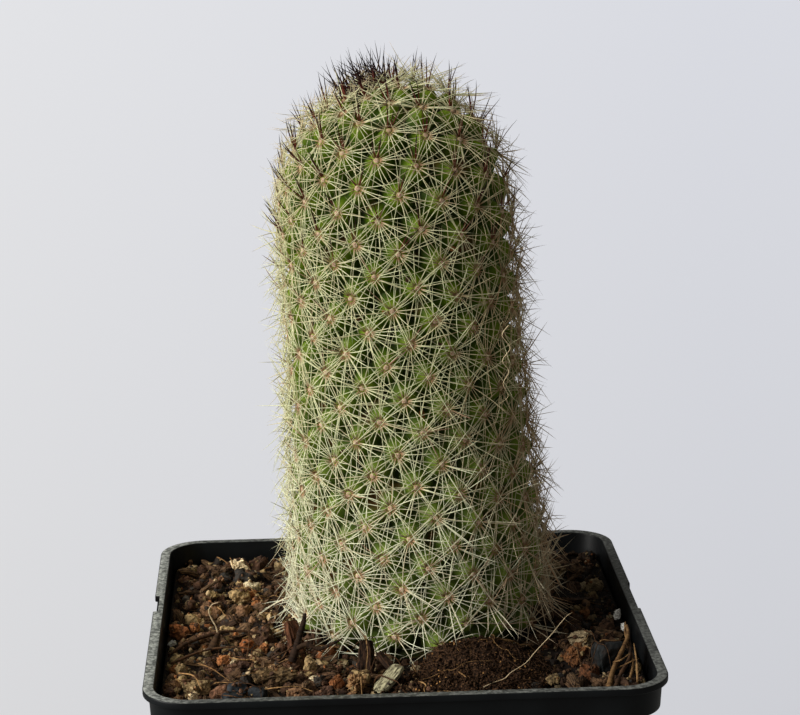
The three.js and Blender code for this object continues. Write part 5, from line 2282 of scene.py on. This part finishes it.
# Ground under the mound, the stones and the bark, which the coarse grains keep clear of. Each row gives its
# least x, greatest x, least y and greatest y.
GRAIN_FREE = (
    (1.045, 21.667, -30.927, -12.154),
    (-30.713, -25.360, -26.750, -22.309),
    (-8.887, -4.443, -28.025, -22.874),
    (-21.749, -13.871, -24.426, -19.242),
    (-12.645, -8.655, -30.427, -26.252),
    (21.828, 26.242, -18.780, -14.471),
    (23.302, 27.625, -13.259, -9.145),
    (-25.397, -20.667, -30.201, -26.741),
    (-25.090, -20.299, 11.015, 16.131),
    (23.138, 27.408, 17.689, 23.342),
    (0.571, 5.416, 24.928, 29.248),
    (26.471, 31.280, -23.285, -18.049),
    (-5.291, 1.022, -30.038, -21.216),
    (-6.507, -3.460, -20.256, -16.446),
    (-4.364, 0.910, -23.932, -18.426),
    (-16.981, -12.465, -13.980, -9.203),
)


@dataclass
class SoilBed:
    """The gritty soil: a crumbled face with coarse, middling and fine grains and shreds of bark."""

    pot: NurseryPot
    mound: PeatMound
    spacing: float = 0.36
    calm_edge: float = 0.8  # the relief fades out over this width along the wall
    stem_hole: float = 15.5
    coarse: int = 96
    tries: int = 6000
    small: float = 1.3
    large: float = 2.4
    from_wall: float = 0.3
    spread: float = 0.85
    # How many there are, their least and greatest half size, and their highest place over the soil.
    middling: Layer = (620, 0.55, 1.25, 0.9)
    fine: Layer = (3600, 0.16, 0.46, 2.2)
    shreds: Layer = (170, 0.7, 1.7, 1.6)
    seed: int = 11

    def bed(self, tree: GrowTree) -> Piece:
        """Make the body of soil with its crumbled face.

        Args:
            tree: The crumble tree.

        Returns:
            The body.
        """
        half = self.pot.mouth_in - FIT_GAP
        corner = self.pot.mouth_corner
        count = int(2 * half / self.spacing)
        axis = np.linspace(-half, half, count + 1)
        points, loose = [], []
        for y in axis:
            for x in axis:
                over_x, over_y = abs(x) - (half - corner), abs(y) - (half - corner)
                px, py = x, y
                if over_x > 0 and over_y > 0:
                    reach = max(over_x, over_y) / math.hypot(over_x, over_y)
                    px = math.copysign(half - corner + over_x * reach, x)
                    py = math.copysign(half - corner + over_y * reach, y)
                points.append((px, py, SOIL_TOP - 0.1))
                edge = min(half - abs(px), half - abs(py))
                loose.append(min(1.0, edge / self.calm_edge))
        faces, ring = grid(count, count)
        outline = [points[k] for k in ring]
        low = self.pot.inside(self.pot.floor + FIT_GAP)[0] - FIT_GAP
        high = self.pot.inside(self.pot.collar_foot - self.pot.wall)[0] - FIT_GAP
        levels = [
            (half, self.pot.collar_foot + FIT_GAP),
            (high, self.pot.collar_foot - self.pot.wall),
            (low, self.pot.floor + FIT_GAP),
        ]
        for level_half, z in levels:
            start = len(points)
            points.extend((x * level_half / half, y * level_half / half, z) for x, y, _ in outline)
            loose.extend([0.0] * len(outline))
            new = list(range(start, start + len(outline)))
            for k in range(len(outline)):
                after = (k + 1) % len(outline)
                faces.append((ring[k], new[k], new[after], ring[after]))
            ring = new
        faces.append(tuple(reversed(ring)))
        bed = plain_mesh("soil_bed", points, faces)
        store(bed, loose=loose, shade=[0.5] * len(points))
        sizes = {"Lump": 3.0 * MM, "Lump height": 1.0 * MM, "Crumb": 0.8 * MM, "Crumb height": 0.7 * MM}
        return grow(bed, tree, {**sizes, "Finish": finish_material(SOIL)})

    def coarse_grains(self) -> list[Point]:
        """Place the coarse grains as in the solids.

        Returns:
            Each grain's x, y and half size.
        """
        chance = SeededStream(self.seed)
        grains: list[Point] = []
        for _ in range(self.tries):
            if len(grains) == self.coarse:
                break
            half = self.small + (self.large - self.small) * chance() ** 1.6
            limit = self.pot.mouth_half - FIT_GAP - self.from_wall - half
            x = (chance() * 2 - 1) * limit
            y = (chance() * 2 - 1) * limit
            if from_stem(x, y) < self.stem_hole + half * 0.9:
                continue
            if any(a <= x <= b and c <= y <= d for a, b, c, d in GRAIN_FREE):
                continue
            if any(math.hypot(gx - x, gy - y) < self.spread * (g + half) for gx, gy, g in grains):
                continue
            grains.append((x, y, half))
        total = sum(x + 2 * y + 3 * half for x, y, half in grains)
        LOG.info("coarse grains: %d, sum %.4f", len(grains), total)
        return grains

    def smaller_grains(
        self, chance: Chance, ground: Ground, count: int, low: float, high: float, steep: float
    ) -> list[Grain]:
        """Drop grains on what lies there already.

        Args:
            chance: The seeded generator.
            ground: What lies there.
            count: How many to place.
            low: The smallest half size.
            high: The largest half size.
            steep: The highest that one may come to lie over the soil.

        Returns:
            Each grain's x, y, z and half size.
        """
        placed: list[Grain] = []
        for _ in range(count * 4):
            if len(placed) == count:
                break
            half = low + (high - low) * chance.random() ** 1.8
            limit = self.pot.mouth_in - FIT_GAP - half
            x, y = chance.uniform(-limit, limit, 2)
            if from_stem(x, y) < self.stem_hole - 0.6 + half:
                continue
            if self.mound.top(x, y) > SOIL_TOP:
                continue
            z = ground.height(x, y)
            if z > SOIL_TOP + steep:
                continue
            placed.append((x, y, z + half * chance.uniform(0.0, 0.5), half))
        return placed

    def build(self, ground: Ground, crumble: GrowTree, scatter: GrowTree) -> list[Piece]:
        """Make and dress the soil, from the bed to the finest crumbs.

        Args:
            ground: What lies in the pot, which takes in the grains.
            crumble: The crumble tree.
            scatter: The scatter tree.

        Returns:
            The dressed pieces.
        """
        chance = np.random.default_rng(self.seed)
        shapes = ShapeLibrary()
        bed = dress(self.bed(crumble), "gritty_soil", "soil")
        ground.add(bed)
        pieces = [bed]
        # The finer the grains are, the fewer faces each has.
        layers = (("large", None, 3), ("small", self.middling, 2), ("fine", self.fine, 1))
        for level, (label, layer, fineness) in enumerate(layers):
            if layer:
                spots = self.smaller_grains(chance, ground, *layer)
            else:
                spots = [(x, y, SOIL_TOP, half) for x, y, half in self.coarse_grains()]
            bounds = np.cumsum([kind.shares[level] for kind in SOIL_MIX])
            drawn = np.searchsorted(bounds / bounds[-1], chance.random(len(spots)))
            made = []
            for k, kind in enumerate(SOIL_MIX):
                chosen = [spot for spot, which in zip(spots, drawn) if which == k]
                if chosen:
                    name = f"{label}_{kind.name}_grains"
                    piece = shapes.lay(name, chosen, kind.shape, fineness, kind.finish, scatter, chance)
                    made.append(dress(piece, kind.slot, "soil"))
            ground.add(*made)
            pieces.extend(made)
        spots = self.smaller_grains(chance, ground, *self.shreds)
        shreds = shapes.lay("bark_shreds", spots, GrainShape.SPLINTER, 1, SHRED, scatter, chance)
        pieces.append(dress(shreds, "dark_bark", "soil"))
        shapes.clear()
        return pieces


# Dry roots and fibres


@dataclass(frozen=True)
class Root:
    """One dry root or thread that shows on its own: its route, its thickness and its finish."""

    route: tuple[Point, ...]
    thick: float
    finish: Bark


ROOTS = (
    # The long pale root that stands out of the peat to the right.
    Root(
        (
            (10.3, -28.8, 63.6), (11.7, -28.0, 63.9), (13.2, -27.2, 64.1), (14.2, -26.5, 64.7),
            (16.3, -25.0, 65.4), (17.8, -24.0, 66.7), (19.9, -23.0, 68.5), (21.3, -22.0, 69.8),
            (22.3, -21.5, 70.7), (23.0, -21.0, 70.9),
        ),
        0.065,
        PALE_ROOT,
    ),
    # The short curl at the left, on its dark stub.
    Root(
        (
            (-25.7, -5.6, 62.9), (-25.65, -5.6, 64.6), (-26.4, -5.6, 66.3), (-26.7, -5.6, 67.4),
            (-26.2, -5.6, 68.3), (-25.4, -5.6, 68.6),
        ),
        0.13,
        PALE_ROOT,
    ),
    # The long dark roots across the left.
    Root(
        (
            (-32.3, -11.0, 63.0), (-29.5, -7.8, 63.6), (-25.4, -5.4, 64.0), (-21.5, -4.6, 63.8),
            (-18.0, -5.4, 63.0),
        ),
        0.3,
        DARK_ROOT,
    ),
    Root(
        (
            (-31.8, -14.5, 63.0), (-27.4, -12.0, 63.8), (-22.5, -11.3, 63.9), (-18.6, -12.6, 63.2),
        ),
        0.2,
        DARK_ROOT,
    ),
    Root(((-21.4, -13.0, 63.0), (-21.0, -11.5, 65.2), (-21.3, -10.2, 66.9)), 0.1, DARK_ROOT),
    Root(((-28.0, -17.0, 63.8), (-26.0, -20.5, 64.3), (-23.4, -24.0, 63.6)), 0.1, TAN_ROOT),
    Root(((-30.4, -22.6, 64.6), (-28.3, -24.7, 64.9), (-27.2, -26.8, 63.6)), 0.13, TAN_ROOT),
    Root(
        (
            (-19.4, -26.9, 63.5), (-17.0, -27.6, 64.0), (-14.5, -27.2, 63.9), (-12.5, -27.8, 63.4),
        ),
        0.1,
        TAN_ROOT,
    ),
    Root(
        (
            (-15.2, -16.2, 63.3), (-14.3, -15.2, 65.6), (-13.9, -15.0, 67.1), (-13.4, -14.7, 68.5),
            (-13.2, -14.5, 69.7),
        ),
        0.62,
        BLACK_ROOT,
    ),
    Root(
        (
            (-14.6, -15.6, 65.0), (-13.1, -15.8, 65.6), (-11.4, -16.2, 65.1), (-9.8, -16.6, 65.8),
            (-8.2, -16.9, 66.7),
        ),
        0.42,
        BLACK_ROOT,
    ),
    Root(((-26.2, -9.0, 62.8), (-25.7, -8.6, 64.2), (-25.2, -8.4, 65.2)), 0.8, BLACK_ROOT),
    Root(((-18.4, -17.0, 64.0), (-13.8, -15.2, 65.2), (-10.0, -16.6, 64.4)), 0.13, DARK_ROOT),
    # The bunch of roots against the wall at the right.
    Root(
        (
            (26.9, -29.6, 62.8), (27.9, -26.0, 64.1), (29.5, -22.6, 65.5), (30.8, -20.0, 67.0),
            (31.0, -17.5, 67.6),
        ),
        0.46,
        TAN_ROOT,
    ),
    Root(
        (
            (27.6, -30.0, 62.8), (28.9, -26.6, 63.9), (30.7, -22.8, 65.2), (31.1, -18.4, 67.0),
        ),
        0.38,
        DARK_ROOT,
    ),
    Root(
        (
            (28.9, -29.8, 62.8), (30.2, -26.8, 63.6), (31.0, -23.4, 64.6), (30.6, -19.2, 66.8),
            (31.2, -14.6, 67.0),
        ),
        0.26,
        TAN_ROOT,
    ),
    Root(((30.9, -28.8, 62.8), (31.3, -25.4, 64.8), (31.5, -21.0, 66.2)), 0.2, TAN_ROOT),
    Root(((28.4, -24.6, 63.9), (30.4, -24.9, 65.0), (31.7, -24.2, 65.2)), 0.13, TAN_ROOT),
    Root(((28.2, -24.6, 64.9), (29.3, -24.9, 65.4), (30.4, -24.2, 65.9)), 0.16, TAN_ROOT),
    # Bits of fibre at the foot of the peat.
    Root(((10.5, -27.6, 62.9), (11.8, -26.2, 63.5), (12.4, -25.0, 64.1)), 0.12, TAN_ROOT),
    Root(((12.5, -28.6, 62.8), (12.9, -26.6, 63.6), (13.3, -24.6, 64.4)), 0.12, TAN_ROOT),
    Root(((12.0, -24.2, 64.2), (13.3, -23.0, 64.9), (13.6, -21.8, 65.6)), 0.14, DARK_ROOT),
    Root(((2.6, -29.6, 62.9), (4.8, -29.0, 63.3), (7.4, -29.5, 63.1)), 0.09, TAN_ROOT),
    Root(((7.2, -25.4, 64.6), (8.2, -26.8, 64.2), (8.6, -28.0, 63.6)), 0.12, TAN_ROOT),
    # The thin curly thread caught in the spines at the right of the plant.
    Root(
        (
            (14.9, -17.2, 110.3), (14.0, -17.6, 109.0), (15.1, -17.3, 107.2), (14.0, -17.8, 105.6),
            (14.9, -17.4, 104.0), (14.1, -17.7, 102.4), (14.8, -17.4, 100.6), (13.6, -18.0, 99.7),
        ),
        0.06,
        PALE_ROOT,
    ),
)


def smooth_route(route: tuple[Point, ...], steps: int = 6) -> list[Vector]:
    """Run a smooth curve through the points of a route.

    Args:
        route: The points.
        steps: The stretches between two of them.

    Returns:
        The points of the curve.
    """
    knots = [Vector(p) for p in route]
    knots = [knots[0] * 2 - knots[1]] + knots + [knots[-1] * 2 - knots[-2]]
    curve = []
    for a, b, c, d in zip(knots, knots[1:], knots[2:], knots[3:]):
        for i in range(steps):
            t = i / steps
            bow = (2 * a - 5 * b + 4 * c - d) * t * t + (3 * b - a - 3 * c + d) * t**3
            curve.append((2 * b + (c - a) * t + bow) * 0.5)
    curve.append(knots[-2])
    return curve


@dataclass
class DryRoots:
    """The roots that show one by one, and the fine fibres that lie all over the soil."""

    pot: NurseryPot
    mound: PeatMound
    fibres: int = 150
    wander: float = 0.35
    stride: float = 1.1
    stem_clear: float = 16.5
    seed: int = 77

    def strands(self, name: str, routes: list[tuple[list[Vector], float]], finish: Bark) -> Piece:
        """Grow a set of strands as one piece.

        Args:
            name: The piece's name.
            routes: Each strand's curve with its radius.
            finish: The finish.

        Returns:
            The piece.
        """
        points, edges, thick, grain, shade = [], [], [], [], []
        for number, (curve, radius) in enumerate(routes):
            start = len(points)
            for i, point in enumerate(curve):
                share = i / (len(curve) - 1)
                points.append(point)
                thick.append(radius * MM * (1 - 0.55 * share**2) * (0.85 + 0.3 * noise.noise(point * 1.7)))
                grain.append((i * 0.5, number * 3.0, 0.0))
                shade.append((number * SHADE_STEP) % 1.0)
            edges.extend((start + i, start + i + 1) for i in range(len(curve) - 1))
        piece = plain_mesh(name, points, [], edges=edges)
        store(piece, thick=thick, grain=grain)
        store(piece, shade=shade)
        return dress(grow(piece, fibre_tree(), {"Finish": finish_material(finish)}), "pale_bark")

    def scattered(self, ground: Ground) -> list[tuple[list[Vector], float]]:
        """Let fine fibres fall on the soil.

        Args:
            ground: What they come to lie on.

        Returns:
            Each fibre's curve with its radius.
        """
        chance = np.random.default_rng(self.seed)
        fallen = []
        limit = self.pot.mouth_in - 1.0
        while len(fallen) < self.fibres:
            x, y = chance.uniform(-limit, limit, 2)
            heading = chance.uniform(0, TURN)
            path = []
            for _ in range(int(chance.integers(4, 11))):
                path.append((x, y))
                heading += chance.normal(0, self.wander)
                x, y = x + self.stride * math.cos(heading), y + self.stride * math.sin(heading)
            inside = all(max(abs(px), abs(py)) < limit for px, py in path)
            clear = all(from_stem(px, py) > self.stem_clear for px, py in path)
            if not (inside and clear):
                continue
            heights = [ground.height(px, py) for px, py in path]
            eased = [max(heights[max(0, i - 1) : i + 2]) for i in range(len(path))]
            route = tuple((px, py, z + 0.08) for (px, py), z in zip(path, eased))
            fallen.append((smooth_route(route, 4), float(chance.uniform(0.05, 0.13))))
        return fallen

    def build(self, ground: Ground) -> list[Piece]:
        """Make and dress the roots and fibres.

        Args:
            ground: What the fibres come to lie on.

        Returns:
            The dressed pieces.
        """
        pieces = []
        for finish in (PALE_ROOT, TAN_ROOT, DARK_ROOT, BLACK_ROOT):
            routes = [(smooth_route(root.route), root.thick) for root in ROOTS if root.finish is finish]
            pieces.append(self.strands(finish.name + "s", routes, finish))
        fallen = self.scattered(ground)
        third = len(fallen) // 3
        pieces.append(self.strands("fine_tan_fibres", fallen[:third], TAN_ROOT))
        pieces.append(self.strands("fine_dark_fibres", fallen[third:], DARK_ROOT))
        return pieces


# The studio


@dataclass
class Studio:
    """A plain pale floor, soft light from the left and a camera at the photograph's angle."""

    lens_mm: float = 112.87
    nearest: float = 0.01  # what is nearer or farther than these isn't shown, in metres
    farthest: float = 50.0
    sensor_mm: float = 36.0
    eye: Point = (-0.014529, -0.342567, 0.184576)
    right: Point = (0.9986775, -0.0492117, -0.0148817)
    up: Point = (0.0259607, 0.2328491, 0.9721663)
    ahead: Point = (0.0443768, 0.9712670, -0.2338187)
    floor_half: float = 6.0
    floor_drop: float = 0.4  # in millimetres under the pot
    light_from: Point = (-0.94, -0.31, 0.46)
    light_strength: float = 4.0
    light_spread_deg: float = 40.0
    light_colour: str = "#fffef9"
    room_colour: str = "#f1f0ea"
    room_strength: float = 0.19

    def camera(self) -> None:
        """Place the camera."""
        data = bpy.data.cameras.new("camera")
        data.lens = self.lens_mm
        data.sensor_width = self.sensor_mm
        data.clip_start = self.nearest
        data.clip_end = self.farthest
        camera = bpy.data.objects.new("camera", data)
        bpy.context.scene.collection.objects.link(camera)
        columns = Matrix((self.right, self.up, tuple(-c for c in self.ahead))).transposed().to_4x4()
        camera.matrix_world = Matrix.Translation(self.eye) @ columns
        bpy.context.scene.camera = camera

    def window(self) -> None:
        """Let in the light of a large window, even over the whole floor."""
        data = bpy.data.lights.new("window_light", "SUN")
        data.energy = self.light_strength
        data.angle = math.radians(self.light_spread_deg)
        data.color = linear(self.light_colour)[:3]
        lamp = bpy.data.objects.new("window_light", data)
        bpy.context.scene.collection.objects.link(lamp)
        lamp.rotation_mode = "QUATERNION"
        lamp.rotation_quaternion = Vector(self.light_from).to_track_quat("Z", "Y")

    def build(self) -> None:
        """Make the floor, the light and the camera."""
        half, low = self.floor_half / MM, -self.floor_drop
        corners = [(-half, -half, low), (half, -half, low), (half, half, low), (-half, half, low)]
        floor = plain_mesh("studio_floor", corners, [(0, 1, 2, 3)])
        floor.data.materials.append(StudioPaper().material())
        # The floor is seen, but throws no light up at the plant, as a dark table in front of a pale wall.
        floor.visible_diffuse = False
        floor.visible_glossy = False
        world = bpy.data.worlds.new("soft_room")
        world.use_nodes = True
        shade = world.node_tree.nodes["Background"]
        shade.inputs["Color"].default_value = linear(self.room_colour)
        shade.inputs["Strength"].default_value = self.room_strength
        bpy.context.scene.world = world
        bpy.context.scene.view_settings.view_transform = "Standard"
        self.window()
        self.camera()


def main() -> None:
    """Build every part in order."""
    logging.basicConfig(level=logging.INFO, format="%(name)s %(message)s")
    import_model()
    pot = NurseryPot()
    mound = PeatMound()
    crumble, scatter = crumble_tree(), scatter_tree()
    ground = Ground()
    pieces = [pot.build()]
    stones = [stone.build(LOOSE_SEED + k, 5 if stone.y < 0 else 4) for k, stone in enumerate(LOOSE_STONES)]
    stones += [stone.build(SMALL_SEED + k, 4) for k, stone in enumerate(SMALL_STONES)]
    stones += [bark.build(17 * k + BARK_SEED) for k, bark in enumerate(BARK_PIECES)]
    peat = mound.build(crumble, scatter)
    ground.add(*stones, *peat)
    pieces += stones + peat
    pieces += SoilBed(pot, mound).build(ground, crumble, scatter)
    pieces += DryRoots(pot, mound).build(ground)
    pieces += Cactus().build(mound)
    for piece in pieces:
        LOG.info("%s: %d faces", piece.name, len(piece.data.polygons))
    Studio().build()


if __name__ == "__main__":
    main()
